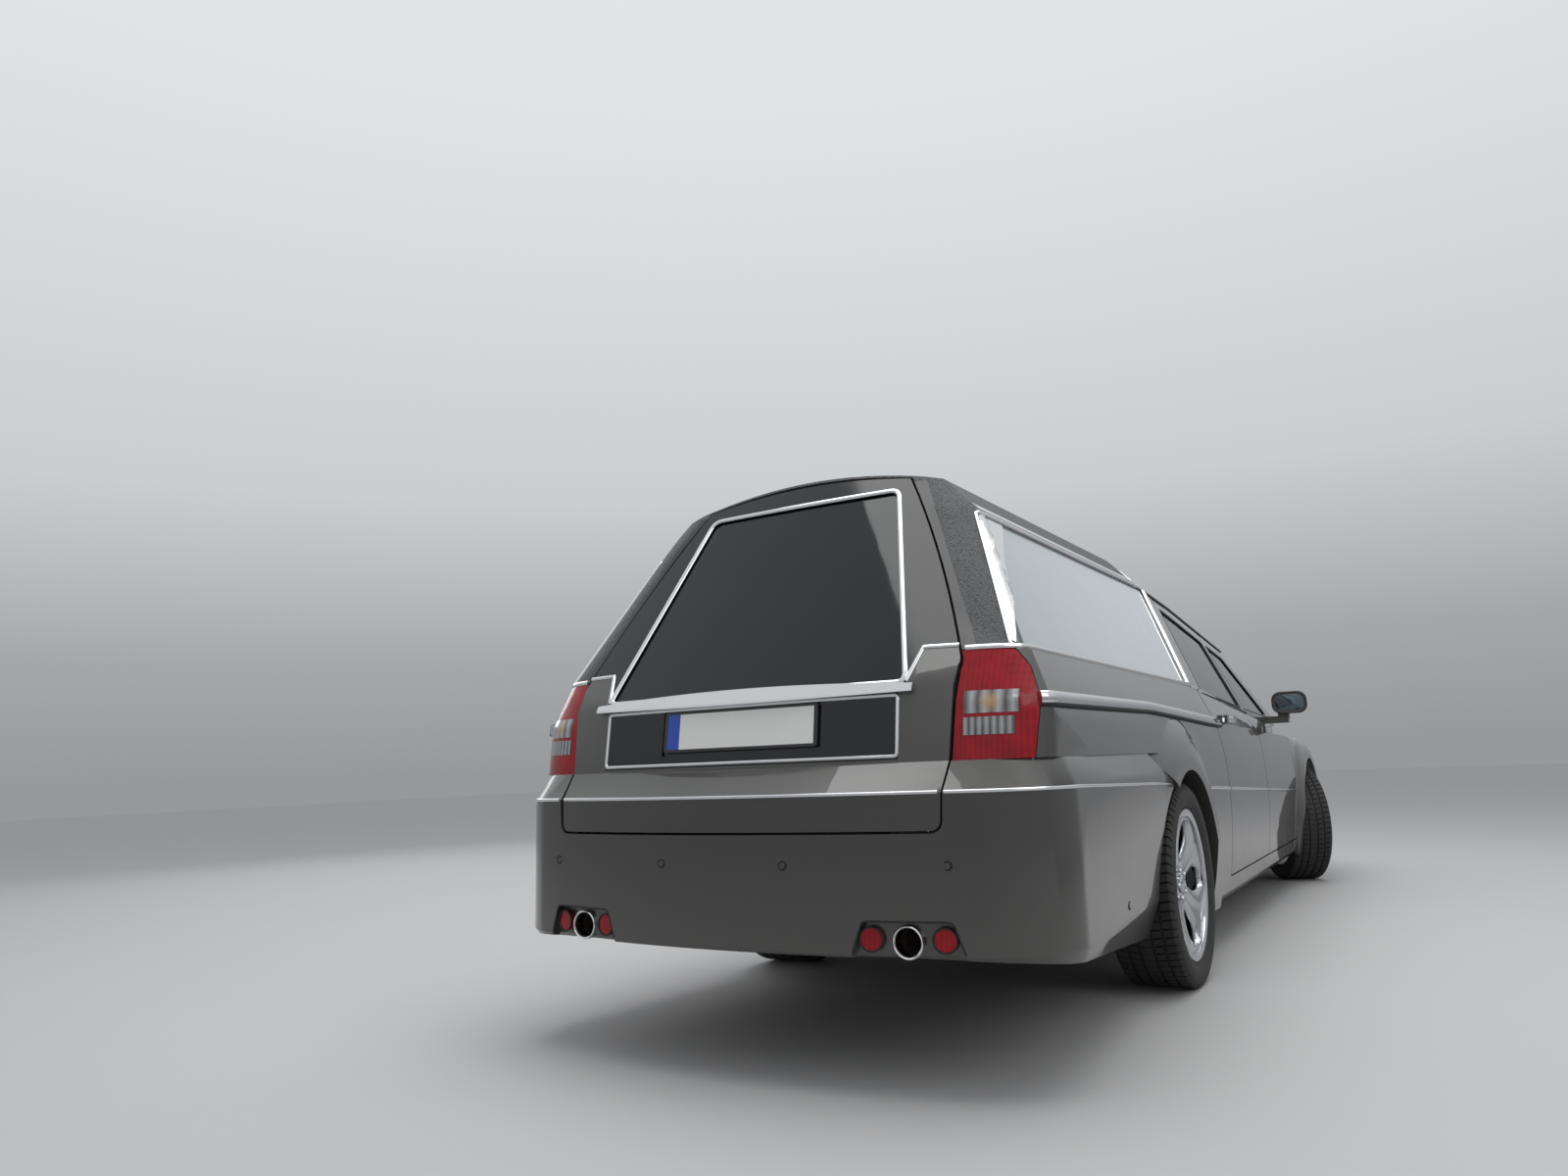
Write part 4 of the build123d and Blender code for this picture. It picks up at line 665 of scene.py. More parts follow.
def make_plate(name):
    """Blank number plate: pale reflective face with a blue end band, in a black holder."""
    shader = Shader(name, (0.8, 0.8, 0.78), Coat_Weight=0.3)
    _, y, z = shader.axes()
    plate_z, half_width, half_height, band_y = 0.961, 0.259, 0.053, 0.214
    face = y.size().below(half_width) * (z - plate_z).size().below(half_height)
    speck = shader.noise(900.0, 1.0)
    pale = shader.blend(speck, (0.70, 0.70, 0.68), (0.84, 0.84, 0.82))
    faced = shader.blend(y.above(band_y), pale, (0.01, 0.06, 0.42))
    look = shader.blend(face, (0.012, 0.012, 0.013), faced)
    return shader.finished(look, 0.5 - face * 0.12, face + speck * 0.05, 0.4, 0.001)


def make_exhaust(name):
    """Stainless steel: polished tips, dull and heat-tinted pipes forward of them."""
    shader = Shader(name, (0.62, 0.61, 0.60), Metallic=1.0)
    tips_end = 3.06
    inner = (shader.axes()[0] + tips_end).above(0.0)
    stain = shader.noise(20.0, 5.0)
    dull = shader.blend(stain, (0.20, 0.17, 0.14), (0.42, 0.38, 0.34))
    look = shader.blend(inner, (0.68, 0.68, 0.69), dull)
    return shader.finished(look, 0.10 + inner * 0.35 + stain * 0.06, stain, 0.1, 0.001)


def all_finishes(looks):
    """Every finish by name."""
    paint = tuple(looks.paint)
    return {
        "paint": make_paint("body_paint", paint),
        "gate": make_paint("gate_paint", paint, cheeks=True),
        "vinyl": make_vinyl("roof_vinyl", tuple(looks.vinyl), paint),
        "chrome": make_chrome("trim_chrome", (0.72, 0.73, 0.74)),
        "satin": make_chrome("satin_metal", (0.86, 0.87, 0.88), 0.16),
        "wheel": make_chrome("wheel_chrome", (0.50, 0.51, 0.53), 0.12),
        "clear_glass": make_glass("quarter_glass", (0.014, 0.018, 0.019), 0.62, 0.55),
        "tinted_glass": make_glass("door_glass", (0.003, 0.005, 0.006), 0.12),
        "tyre": make_tyre("tyre_rubber"),
        "chassis": make_coated("chassis_coat", (0.028, 0.028, 0.03), 0.62, 60.0, 0.002),
        "cast": make_coated("cast_metal", (0.20, 0.20, 0.21), 0.55, 90.0, 0.001, 0.7),
        "brake": make_coated("brake_iron", (0.030, 0.029, 0.028), 0.5, 120.0, metal=0.4),
        "plastic": make_coated("black_plastic", (0.020, 0.020, 0.022), 0.5),
        "rubber": make_coated("seal_rubber", (0.010, 0.010, 0.011), 0.7),
        "grey": make_coated("grey_board", (0.20, 0.20, 0.205), 0.7, 300.0),
        "leather": make_leather("seat_leather", (0.045, 0.043, 0.041)),
        "wood": make_wood("deck_wood", (0.16, 0.075, 0.035)),
        "red": make_lens("red_lens", (0.46, 0.0, 0.010), (0.10, 0.0, 0.002)),
        "clear": make_reflector("clear_lamp", (0.50, 0.50, 0.51), (0.07, 0.07, 0.075), 60.0, 0.9),
        "ribbed": make_reflector("ribbed_lamp", (0.42, 0.43, 0.44), (0.05, 0.05, 0.055), 110.0),
        "headlamp": make_headlamp("headlamp_lens"),
        "plate": make_plate("plate_face"),
        "exhaust": make_exhaust("exhaust_steel"),
        "mirror": make_chrome("mirror_glass", (0.20, 0.26, 0.29), 0.01),
    }


def smoothing_group():
    """Geometry nodes that shade smooth every edge bent by less than 28 degrees."""
    group = bpy.data.node_groups.new("smooth_by_angle", "GeometryNodeTree")
    group.interface.new_socket("Geometry", in_out="INPUT", socket_type="NodeSocketGeometry")
    group.interface.new_socket("Geometry", in_out="OUTPUT", socket_type="NodeSocketGeometry")
    nodes = Nodes(group)
    faces = nodes.add("GeometryNodeSetShadeSmooth", sockets={"Geometry": nodes.add("NodeGroupInput")})
    angle = nodes.add("GeometryNodeInputMeshEdgeAngle", out="Unsigned Angle")
    small = nodes.add("FunctionNodeCompare", {"operation": "LESS_THAN"}, {0: angle, 1: np.radians(28)})
    edges = nodes.add("GeometryNodeSetShadeSmooth", {"domain": "EDGE"}, {"Geometry": faces, "Shade Smooth": small})
    group.links.new(edges.socket, group.nodes.new("NodeGroupOutput").inputs[0])
    return group


# ---------------------------------------------------------------- settings

class HearseLooks(PropertyGroup):
    paint: FloatVectorProperty(
        name="Paint", description="Metallic body colour", default=(0.058, 0.056, 0.053), subtype="COLOR", min=0, max=1
    )
    vinyl: FloatVectorProperty(
        name="Vinyl", description="Roof covering colour", default=(0.042, 0.043, 0.046), subtype="COLOR", min=0, max=1
    )
    trim_height: FloatProperty(
        name="Trim height", description="How far thin trim stands out", default=0.005, unit="LENGTH"
    )
    moulding_width: FloatProperty(
        name="Moulding width", description="Height of the shoulder moulding", default=0.044, unit="LENGTH"
    )
    tread_pitches: IntProperty(name="Tread pitches", description="Tread blocks round a tyre", default=72, min=24)
    tread_depth: FloatProperty(name="Tread depth", description="Depth of the grooves", default=0.008, unit="LENGTH")
    wheel_windows: IntProperty(name="Wheel windows", description="Oval openings in a wheel", default=5, min=3)
    simulate: BoolProperty(name="Simulate cloth", description="Swell the cushions with cloth", default=True)


# ---------------------------------------------------------------- pieces

class HEARSE_OT_panels(Operator):
    """Give every CAD node its finish and smooth shading"""

    bl_idname = "hearse.panels"
    bl_label = "Panels"

    def execute(self, context):
        FINISH.update(all_finishes(context.scene.hearse_looks))
        group = smoothing_group()
        for name, node in NODES.items():
            finish = next(NODE_FINISH[start] for start in NODE_FINISH if name.startswith(start))
            node.data.materials.clear()
            node.data.materials.append(FINISH[finish])
            node.modifiers.new("weld", "WELD").merge_threshold = 0.00002
            node.modifiers.new("smooth", "NODES").node_group = group
            node.modifiers.new("weighted", "WEIGHTED_NORMAL").keep_sharp = True
        return {"FINISHED"}


def skin_path(wall, station, z, side, lift=0.0):
    """Points on the car's side: on the tail's corner arc where that is the outer skin, else on the given wall."""
    corner, _, rounded = rear_corner(station, z)
    return spot(station, side * (np.where(rounded, corner, wall(station, z)) + lift), z)


def gate_path(y, z):
    """Points on the tailgate's skin."""
    return spot(gate_station(y, z), y, z)


class HEARSE_OT_trim(Operator):
    """Chrome trims and black seals along the sides"""

    bl_idname = "hearse.trim"
    bl_label = "Side trim"

    def quarter(self, side, name):
        """Frame of the load bay window, the bright wedge in its rear corner, and the strip on the roof's edge."""
        station, z = loop(QUARTER_WINDOW, 0.012, 0.04).T
        path, normals = skin_path(cabin_y, station, z, side), skin_normals(station, z, side, CABIN_RISE)
        trim(f"quarter_frame_{name}", path, normals, 0.013, 0.005, closed=True)
        z = np.linspace(1.160, 1.597, 24)[:, None]
        width = np.interp(z, [1.160, 1.274, 1.326, 1.451, 1.597], [0.010, 0.032, 0.055, 0.106, 0.203])
        station = 0.297 + (z - 1.150) * 0.6035 + width * np.linspace(0, 1, 9)
        face = skin_path(cabin_y, station, z, side, -0.003)
        make_piece(f"quarter_wedge_{name}", thin_plate(face, (0, -side * 0.004, 0)), "body", "satin", 50)
        station, rise = np.linspace(0.590, 2.600, 30), 0.018
        path = spot(station, side * (0.620 - 0.968 * rise), column(CABIN, station, 4) + rise)
        trim(f"roof_edge_strip_{name}", path, (0, side * 0.70, 0.72), 0.030, 0.004, finish="satin")

    def shoulder(self, side, name, width):
        """The broad moulding along the shoulder, with a dark groove in it."""
        station = np.r_[np.linspace(0.268, 0.330, 8), np.linspace(0.360, 2.650, 40)]
        z = np.interp(station, [0.268, 1.400, 2.650], [1.000, 1.004, 0.968])
        normals = skin_normals(station, z, side, 0.0)
        trim(f"shoulder_moulding_{name}", skin_path(side_y, station, z, side), normals, width, 0.013, sink=0.004)
        trim(f"shoulder_groove_{name}", skin_path(side_y, station, z - 0.015, side), normals, 0.014, 0.0128,
             finish="rubber", sink=0.004)

    def doors(self, side, name, height):
        """Strips on doors and quarter, low down and at the belt, window seals and the drip rail."""
        rear, front = f"door_rear_{name}", f"door_front_{name}"
        rear_end, front_start, front_end = DOOR_SPLIT - SHUT, DOOR_SPLIT + SHUT, DOOR_FRONT - SHUT
        for body, start, end in (("body", 2.215, 2.650), (rear, 2.668, rear_end), (front, front_start, front_end)):
            station = np.linspace(start, end, 14)
            z = np.interp(station, [2.186, 4.805], [0.699, 0.591])
            trim(f"door_strip_{body}_{name}", skin_path(side_y, station, z, side), (0, side, 0), 0.014, height, body,
                 sink=0.003)
        front_end = DOOR_FRONT - 0.012
        for body, start, end in (("body", 2.400, 2.535), (rear, 2.562, rear_end), (front, front_start, front_end)):
            station = np.linspace(start, end, 12)
            path = spot(station, side * column(LOWER, station, 6), column(CABIN, station, 2) - 0.006)
            trim(f"belt_strip_{body}_{name}", path, (0, side * 0.8, 0.6), 0.013, height, body, sink=0.004)
        out = (0, side * 0.911, 0.411)
        for door, window in ((front, FRONT_WINDOW), (rear, REAR_WINDOW)):
            path = skin_path(cabin_y, *loop(window, 0.03, 0.06).T, side, -0.003)
            trim(f"window_seal_{door}", path, out, 0.014, 0.004, door, "rubber", closed=True)
        station = fill_in([(2.625, 0), (3.100, 0), (3.771, 0), (4.180, 0), (4.46, 0)], 0.08)[:, 0]
        path = skin_path(cabin_y, station, column(CABIN, station, 4) - 0.012, side)
        trim(f"drip_rail_{name}", path, out, 0.018, 0.006, finish="rubber")

    def execute(self, context):
        looks = context.scene.hearse_looks
        for side, name in SIDES:
            self.quarter(side, name)
            self.shoulder(side, name, looks.moulding_width)
            self.doors(side, name, looks.trim_height)
        y, hoop = np.linspace(-0.615, 0.615, 41), 2.652
        normals = np.stack([0 * y, y * 0.5, 1 + 0 * y], 1)
        trim("roof_band", spot(hoop, y, roof_z(hoop, y)), normals, 0.034, 0.004)
        return {"FINISHED"}


class HEARSE_OT_gate(Operator):
    """Chrome frames and strips of the tailgate and rear bumper, sensors, exhaust lips and dark rings"""

    bl_idname = "hearse.gate"
    bl_label = "Tailgate trim"

    def corner(self, side, name, height):
        """Trim beside the tailgate's window, on top of the lamp, and the strip round the bumper and along its side."""
        cheek = fill_in([(side * 0.530, 1.066), (side * 0.562, 1.162), (side * 0.666, 1.160)], 0.02)
        trim(f"cheek_trim_{name}", gate_path(*cheek.T), GATE_OUT, 0.013, height, "tailgate")
        lamp_top, inner = 1.150, 0.684
        arc = plan_path(TAIL, lamp_top, side, 16)
        lead = [(float(end_station(TAIL, inner, lamp_top)), side * inner)]
        arc = np.concatenate([lead, arc[np.abs(arc[:, 1]) > inner + 0.004]])
        station, y = arc[arc[:, 0] < 0.305].T
        trim(f"lamp_top_trim_{name}", spot(station, y, lamp_top), (-0.6, side * 0.5, 0.6), 0.016, 0.006, sink=0.006)
        inner, seam = 0.664, 0.765
        lead = [(float(end_station(BUMPER, inner, seam)), side * inner)]
        rear = np.concatenate([lead, plan_path(BUMPER, seam, side, 18)])
        flank = np.linspace(0.420, 1.470, 14)
        level = np.interp(flank, [0.335, 1.470], [STRIP_Z, 0.738])
        y = np.r_[rear[:, 1], side * bumper_y(flank, level)]
        path = spot(np.r_[rear[:, 0], flank], y, np.r_[np.full(len(rear), STRIP_Z), level])
        away = np.gradient(path, axis=0)
        normals = np.stack([-np.abs(away[:, 1]), side * np.abs(away[:, 0]), 0 * away[:, 0]], 1)
        trim(f"bumper_strip_{name}", path, normals, 0.010, height, sink=0.004)

    def sensors(self):
        """Parking sensors in the bumper: a painted disc in a dark ring at each place."""
        rear_z, flank, flank_z = 0.580, 0.830, 0.398
        places = [(end_station(BUMPER, y, rear_z), y, rear_z, "x", -1) for y in (-0.663, -0.207, 0.207, 0.663)]
        places += [(flank, side * bumper_y(flank, flank_z), flank_z, "y", side) for side, _ in SIDES]
        for part, profile, finish in (
            ("discs", [(0.0, 0.003), (0.0085, 0.0028), (0.0100, 0.0), (0.0100, -0.004)], "paint"),
            ("rings", [(0.0098, -0.004), (0.0100, 0.0018), (0.0128, 0.0018), (0.0132, -0.004)], "rubber"),
        ):
            grids = [(turned(profile, 24, spot(*at), axis, way), True, False, False) for *at, axis, way in places]
            make_piece(f"sensor_{part}", join_grids(grids), "body", finish, slot="body_paint")

    def execute(self, context):
        height = context.scene.hearse_looks.trim_height
        window = loop(GATE_WINDOW, 0.03, 0.05)
        trim("gate_window_frame", gate_path(*window.T), GATE_OUT, 0.017, 0.006, "tailgate", closed=True)
        panel = loop([(-0.512, 0.862), (-0.512, 1.028), (0.512, 1.028), (0.512, 0.862)], 0.01, 0.05)
        trim("plate_panel_frame", gate_path(*panel.T), (-1, 0, 0.1), 0.011, height, "tailgate", closed=True)
        for side, name in SIDES:
            self.corner(side, name, height)
        path = gate_path(np.linspace(-0.645, 0.645, 31), STRIP_Z)
        trim("gate_strip", path, (-1, 0, 0), 0.010, height, "tailgate", sink=0.004)
        self.sensors()
        ring = [(0.0370, 0.002), (0.0380, -0.003), (0.0405, -0.005), (0.0430, -0.003), (0.0440, 0.002),
                (0.0440, 0.03), (0.0370, 0.03)]
        grids = [(turned(ring, 40, spot(0.060, side * 0.548, 0.388), "x"), True, True, False) for side, _ in SIDES]
        make_piece("exhaust_lips", join_grids(grids), "body", "satin")
        t = around(36)
        for side, name in SIDES:
            for place, middle in (("inner", 0.450), ("outer", 0.644)):
                y, z = middle + 0.031 * np.cos(t), 0.394 + 0.031 * np.sin(t)
                path = spot(end_station(BUMPER, y, z) + 0.010, side * y, z)
                trim(f"red_ring_{place}_{name}", path, (-1, side * 0.18, 0), 0.005, 0.003, finish="rubber", closed=True)
            foot, other_foot = (0.402, 0.360), (0.698, 0.360)
            bent = rounded_outline([foot, (0.431, 0.441), (0.669, 0.441), other_foot], 0.014)[6:18]
            y, z = fill_in([foot, *bent, other_foot], 0.02).T
            path = spot(end_station(BUMPER, y, z) + 0.001, side * y, z)
            trim(f"recess_seam_{name}", path, (-1, side * 0.12, 0), 0.006, 0.002, finish="rubber")
        return {"FINISHED"}


class HEARSE_OT_lamps(Operator):
    """Panes over the silvered chambers in the tail lamps"""

    bl_idname = "hearse.lamps"
    bl_label = "Lamps"

    def execute(self, context):
        proud = 0.0015
        for side, name in SIDES:
            for which, low, high, finish in (
                ("turn", (0.696, 0.967), (0.829, 1.028), "clear"),
                ("reverse", (0.694, 0.910), (0.820, 0.957), "ribbed"),
            ):
                y, z = np.linspace(low[0], high[0], 20)[:, None], np.linspace(low[1], high[1], 10)
                face = spot(end_station(TAIL, y, z) - proud, side * y, z)
                make_piece(f"lamp_{which}_{name}", thin_plate(face, (0.006, 0, 0)), "body", finish)
        return {"FINISHED"}


def wheel_place(front, side):
    """Turn and shift from a wheel's own axes (outboard is +Y) to the car."""
    turn = Matrix.Identity(4) if side > 0 else Matrix.Rotation(np.pi, 4, "Z")
    if not front:
        return Matrix.Translation((REAR_AXLE, side * WHEEL_Y, WHEEL_Z)) @ turn
    pin = Matrix.Translation((FRONT_AXLE, side * KINGPIN_Y, 0)) @ Matrix.Rotation(STEER, 4, "Z")
    return pin @ Matrix.Translation((0, side * KINGPIN_OFFSET, WHEEL_Z)) @ turn


def moved(shape, place):
    """Points and faces turned and shifted by a matrix."""
    points, faces = shape
    place = np.array(place)
    return points @ place[:3, :3].T + place[:3, 3], faces


def tyre_shape(looks):
    """Tyre: a section turned round the axle; between blocks the tread rows drop by the groove's depth."""
    half, radius, depth, pitches = 0.1225, 0.3638, looks.tread_depth, looks.tread_pitches
    # Section from the inner bead to the tread: radius, along, rib (1) or groove (0), tread share
    wall = [(0.2563, -0.0975, 1, 0), (0.273, -0.099, 1, 0), (0.276, -0.1065, 1, 0), (0.284, -0.1135, 1, 0),
            (0.290, -0.1145, 1, 0), (0.293, -0.1175, 1, 0), (0.307, -0.1215, 1, 0), (0.322, -0.1223, 1, 0),
            (0.334, -0.1205, 1, 0), (0.341, -0.1195, 1, 0), (0.350, -0.1165, 1, 0.4), (0.358, -0.110, 1, 0.8)]
    tread = []
    for start, end in ((-0.104, -0.070), (-0.060, -0.029), (-0.020, 0.020), (0.029, 0.060), (0.070, 0.104)):
        tread += [(radius - depth, start - 0.0005, 0, 1), (radius, start + 0.0005, 1, 1),
                  (radius, end - 0.0005, 1, 1), (radius - depth, end + 0.0005, 0, 1)]
    outer = [(r, -y, rib, share) for r, y, rib, share in reversed(wall)]
    r, along, rib, share = np.array(wall + tread[1:-1] + outer).T
    # Four rows of points to a pitch: the second and third are the block's top, the others the groove's floor
    turn = (np.arange(pitches)[:, None] + np.array([0.0, 0.02, 0.80, 0.82])).reshape(-1) / pitches * 2 * np.pi
    floor = np.tile([1, 0, 0, 1], pitches)[:, None]
    angle = turn[:, None] + 0.55 * 2 * np.pi / pitches * np.abs(along) / half * share
    r = r - depth * floor * (share * rib) * np.where(np.abs(along) < 0.021, 0.35, 1.0)
    return np.stack([r * np.cos(angle), along + 0 * angle, r * np.sin(angle)], -1)


def wheel_shape(looks):
    """Wheel: a turned barrel, a dished face with oval windows, a hub cap and nuts."""
    count = looks.wheel_windows
    barrel = [(0.2465, 0.104), (0.262, 0.1075), (0.2715, 0.1078), (0.2718, 0.101), (0.2560, 0.0985),
              (0.2560, -0.0985), (0.2718, -0.101), (0.2718, -0.1078), (0.2470, -0.1078), (0.2470, -0.09),
              (0.2470, 0.060), (0.2440, 0.078), (0.2440, 0.094)]
    t = around(48)
    # One sector in polar form: the oval window and, on the same rays, the sector's own border
    middle, tall, wide, rim, hub = 0.168, 0.068, 0.041, 0.2462, 0.060
    oval_r = middle + tall * np.cos(t)
    oval_a = wide * (1 + 0.35 * np.cos(t)) * np.sin(t) / oval_r
    span = np.where(np.cos(t) > 0, rim - middle, middle - hub)
    stretch = np.maximum(np.abs(oval_r - middle) / span, np.abs(oval_a) / (np.pi / count))
    border_r, border_a = middle + (oval_r - middle) / stretch, oval_a / stretch
    rows = []
    # Loops from the window's back edge to the border: share of the way, fall inwards, growth of the oval
    for share, fall, grow in (
        (0, -0.018, 1), (0, -0.009, 1), (0, -0.003, 1.02), (0, 0, 1.07), (0.35, 0, 1), (0.7, 0, 1), (1, 0, 1)
    ):
        r, a = oval_r + (border_r - oval_r) * share, oval_a + (border_a - oval_a) * share
        if share == 0:
            r, a = middle + (oval_r - middle) * grow, oval_a * grow
        dish = 0.058 + 0.036 * np.clip(r / 0.245, 0, 1.05) ** 2.2
        rows.append((r, a, dish + fall + 0.006 * np.sin(np.pi * share)))
    r, a, along = np.array(rows).transpose(1, 0, 2)
    grids = [(turned(barrel, 96), True, True, False)]
    for sector in range(count):
        turn = a + 2 * np.pi * (sector + 0.5) / count
        face = np.stack([r * np.cos(turn), along, r * np.sin(turn)], -1)
        back = face.copy()
        back[1:, :, 1] -= 0.014
        grids += [(face, False, True, False), (back, False, True, False)]
    cap = [(0.0, 0.080), (0.022, 0.080), (0.029, 0.077), (0.034, 0.072), (0.034, 0.066), (0.044, 0.0665),
           (0.064, 0.064), (0.064, 0.030), (0.082, 0.030), (0.082, 0.006), (0.0352, 0.006), (0.0352, 0.060),
           (0.0, 0.060)]
    grids.append((turned(cap, 48), True, False, False))
    nut, circle = [(0.0, 0.078), (0.007, 0.078), (0.010, 0.075), (0.0105, 0.062), (0.0, 0.062)], 0.052
    for a in around(count):
        grids.append((turned(nut, 6, (circle * np.cos(a), 0, circle * np.sin(a))), True, False, False))
    return join_grids(grids)


class HEARSE_OT_wheels(Operator):
    """Treaded tyres and chrome wheels"""

    bl_idname = "hearse.wheels"
    bl_label = "Wheels"

    def execute(self, context):
        looks = context.scene.hearse_looks
        brake = [(0.084, 0.022), (0.236, 0.022), (0.236, 0.034), (0.150, 0.034), (0.146, 0.040), (0.084, 0.040)]
        tyre = join_grids([(tyre_shape(looks), True, True, False)])
        rim = wheel_shape(looks)
        disc = join_grids([(turned(brake, 64), True, True, False)])
        for front, row in ((True, "front"), (False, "rear")):
            for side, name in SIDES:
                place, body = wheel_place(front, side), f"wheel_{row}_{name}"
                piece = make_piece(f"tread_{row}_{name}", moved(tyre, place), body, "tyre", 30)
                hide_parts(f"tyre_{row}_{name}")
                piece = make_piece(f"disc_{row}_{name}", moved(rim, place), body, "wheel", 40)
                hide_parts(f"rim_{row}_{name}")
                make_piece(f"brake_{row}_{name}", moved(disc, place), body, "brake", 30)
        return {"FINISHED"}


class HEARSE_OT_handles(Operator):
    """Door handles, mirror glass and its dark rim"""

    bl_idname = "hearse.handles"
    bl_label = "Handles and mirrors"

    def execute(self, context):
        t = np.linspace(-1, 1, 21)
        section = [(0.016, -0.012), (0.017, -0.003), (0.012, 0.003), (0, 0.0045), (-0.012, 0.003), (-0.017, -0.003),
                   (-0.016, -0.012)]
        v, u, power = np.linspace(0, 1, 8)[:, None], around(48), 0.62
        wide, tall = bend(np.cos(u), power), bend(np.sin(u), power)
        mirror_y, mirror_z = 0.984, 1.108
        for side, name in SIDES:
            for door, station, z in (("front", 3.863, 0.948), ("rear", 2.768, 0.985)):
                path = spot(station + 0.117 * t, side * (0.9335 - 0.012 * t**4 - 0.004 * t**2), z)
                shape = join_grids([(carried(path, (0, side, 0), section), False, True, True)])
                make_piece(f"handle_{door}_{name}", shape, f"door_{door}_{name}", "chrome", 50)
            y, z = side * (mirror_y + 0.086 * v * wide), mirror_z + 0.055 * v * tall
            face = spot(4.3955 - 0.002 * (1 - v**2), y, z)
            shape = join_grids([(np.concatenate([face, face[-1:] + (0.003, 0, 0)]), False, True, False)])
            make_piece(f"mirror_face_{name}", shape, f"door_front_{name}", "mirror", 60)
            path = spot(4.395, side * (mirror_y + 0.0895 * wide), mirror_z + 0.0585 * tall)
            trim(f"mirror_bezel_{name}", path, (-1, 0, 0), 0.010, 0.004, f"door_front_{name}", "plastic", closed=True)
        return {"FINISHED"}


def shaped(piece):
    """A new mesh of the piece as its modifiers leave it."""
    return bpy.data.meshes.new_from_object(piece.evaluated_get(bpy.context.evaluated_depsgraph_get()))


def mesh_points(mesh):
    """The mesh's points, one to a row."""
    flat = np.empty(len(mesh.vertices) * 3)
    mesh.vertices.foreach_get("co", flat)
    return flat.reshape(-1, 3)


class HEARSE_OT_seats(Operator):
    """Padded seats and head rests in place of the plain blocks"""

    bl_idname = "hearse.seats"
    bl_label = "Seats"

    def swell(self, piece, pressure, cap):
        """Blow the closed cushion up with cloth pressure, then hold every point to within cap of its start."""
        remesh = piece.modifiers.new("remesh", "REMESH")
        remesh.mode = "VOXEL"
        remesh.voxel_size = 0.014
        mesh = shaped(piece)
        piece.modifiers.clear()
        piece.data = mesh
        before, steps = mesh_points(mesh), 12
        cloth = piece.modifiers.new("cloth", "CLOTH")
        cloth.settings.use_pressure = True
        cloth.settings.uniform_pressure_force = pressure
        cloth.settings.effector_weights.gravity = 0
        cloth.settings.quality = 4
        cloth.point_cache.frame_end = steps
        for step in range(steps):
            bpy.context.scene.frame_set(step + 1)
        swollen = shaped(piece)
        move = mesh_points(swollen) - before
        bpy.context.scene.frame_set(1)
        piece.modifiers.clear()
        move *= np.minimum(1, cap / np.maximum(np.linalg.norm(move, axis=1, keepdims=True), 1e-9))
        mesh.vertices.foreach_set("co", (before + move).ravel())
        bpy.data.meshes.remove(swollen)

    def stitch(self, piece, centre, channels):
        """Press seams into the pad: each channel lowers the surface by a bell curve across it."""
        mesh = piece.data
        local = mesh_points(mesh) - centre
        push = sum(0.012 * np.exp(-(((local[:, 1] - at) / 0.010) ** 2)) for at in channels)
        outward = local / np.maximum(np.linalg.norm(local, axis=1, keepdims=True), 1e-9)
        mesh.vertices.foreach_set("co", (local - outward * push[:, None] + centre).ravel())
        mesh.polygons.foreach_set("use_smooth", np.ones(len(mesh.polygons), bool))
        mesh.update()

    def execute(self, context):
        looks = context.scene.hearse_looks
        lean = np.arctan2(0.16, 0.60)
        for label, station, y, width, channels, rests in (
            ("driver", 3.930, 0.37, 0.52, (-0.16, 0.16), (0,)),
            ("passenger", 3.930, -0.37, 0.52, (-0.16, 0.16), (0,)),
            ("rear", 2.780, 0, 1.36, (-0.46, -0.22, 0, 0.22, 0.46), (-0.42, 0.42)),
        ):
            for part, shift, z, half, turn in (
                ("cushion", 0.245, 0.475, (0.240, width / 2 - 0.014, 0.068), -0.10),
                ("back", -0.045, 0.820, (0.066, width / 2 - 0.02, 0.300), -lean),
            ):
                centre = spot(station + shift, y, z)
                piece = make_piece(f"seat_{part}_{label}", pillow(centre, half, 0.34, turn), "body", "leather", 60)
                if looks.simulate:
                    self.swell(piece, 4.0, 0.010)
                self.stitch(piece, centre, channels)
                if part == "cushion":
                    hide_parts("seats")
            for number, shift in enumerate(rests):
                centre = spot(station - 0.128, y + shift, 1.072)
                shape = pillow(centre, (0.040, 0.125, 0.058), 0.5, -lean, 16, 28)
                piece = make_piece(f"head_rest_{label}_{number}", shape, "body", "leather", 60)
            base = pillow(spot(station + 0.240, y, 0.372), (0.20, width / 2 - 0.06, 0.034), 0.15)
            make_piece(f"seat_base_{label}", base, "body", "plastic", 40)
        return {"FINISHED"}


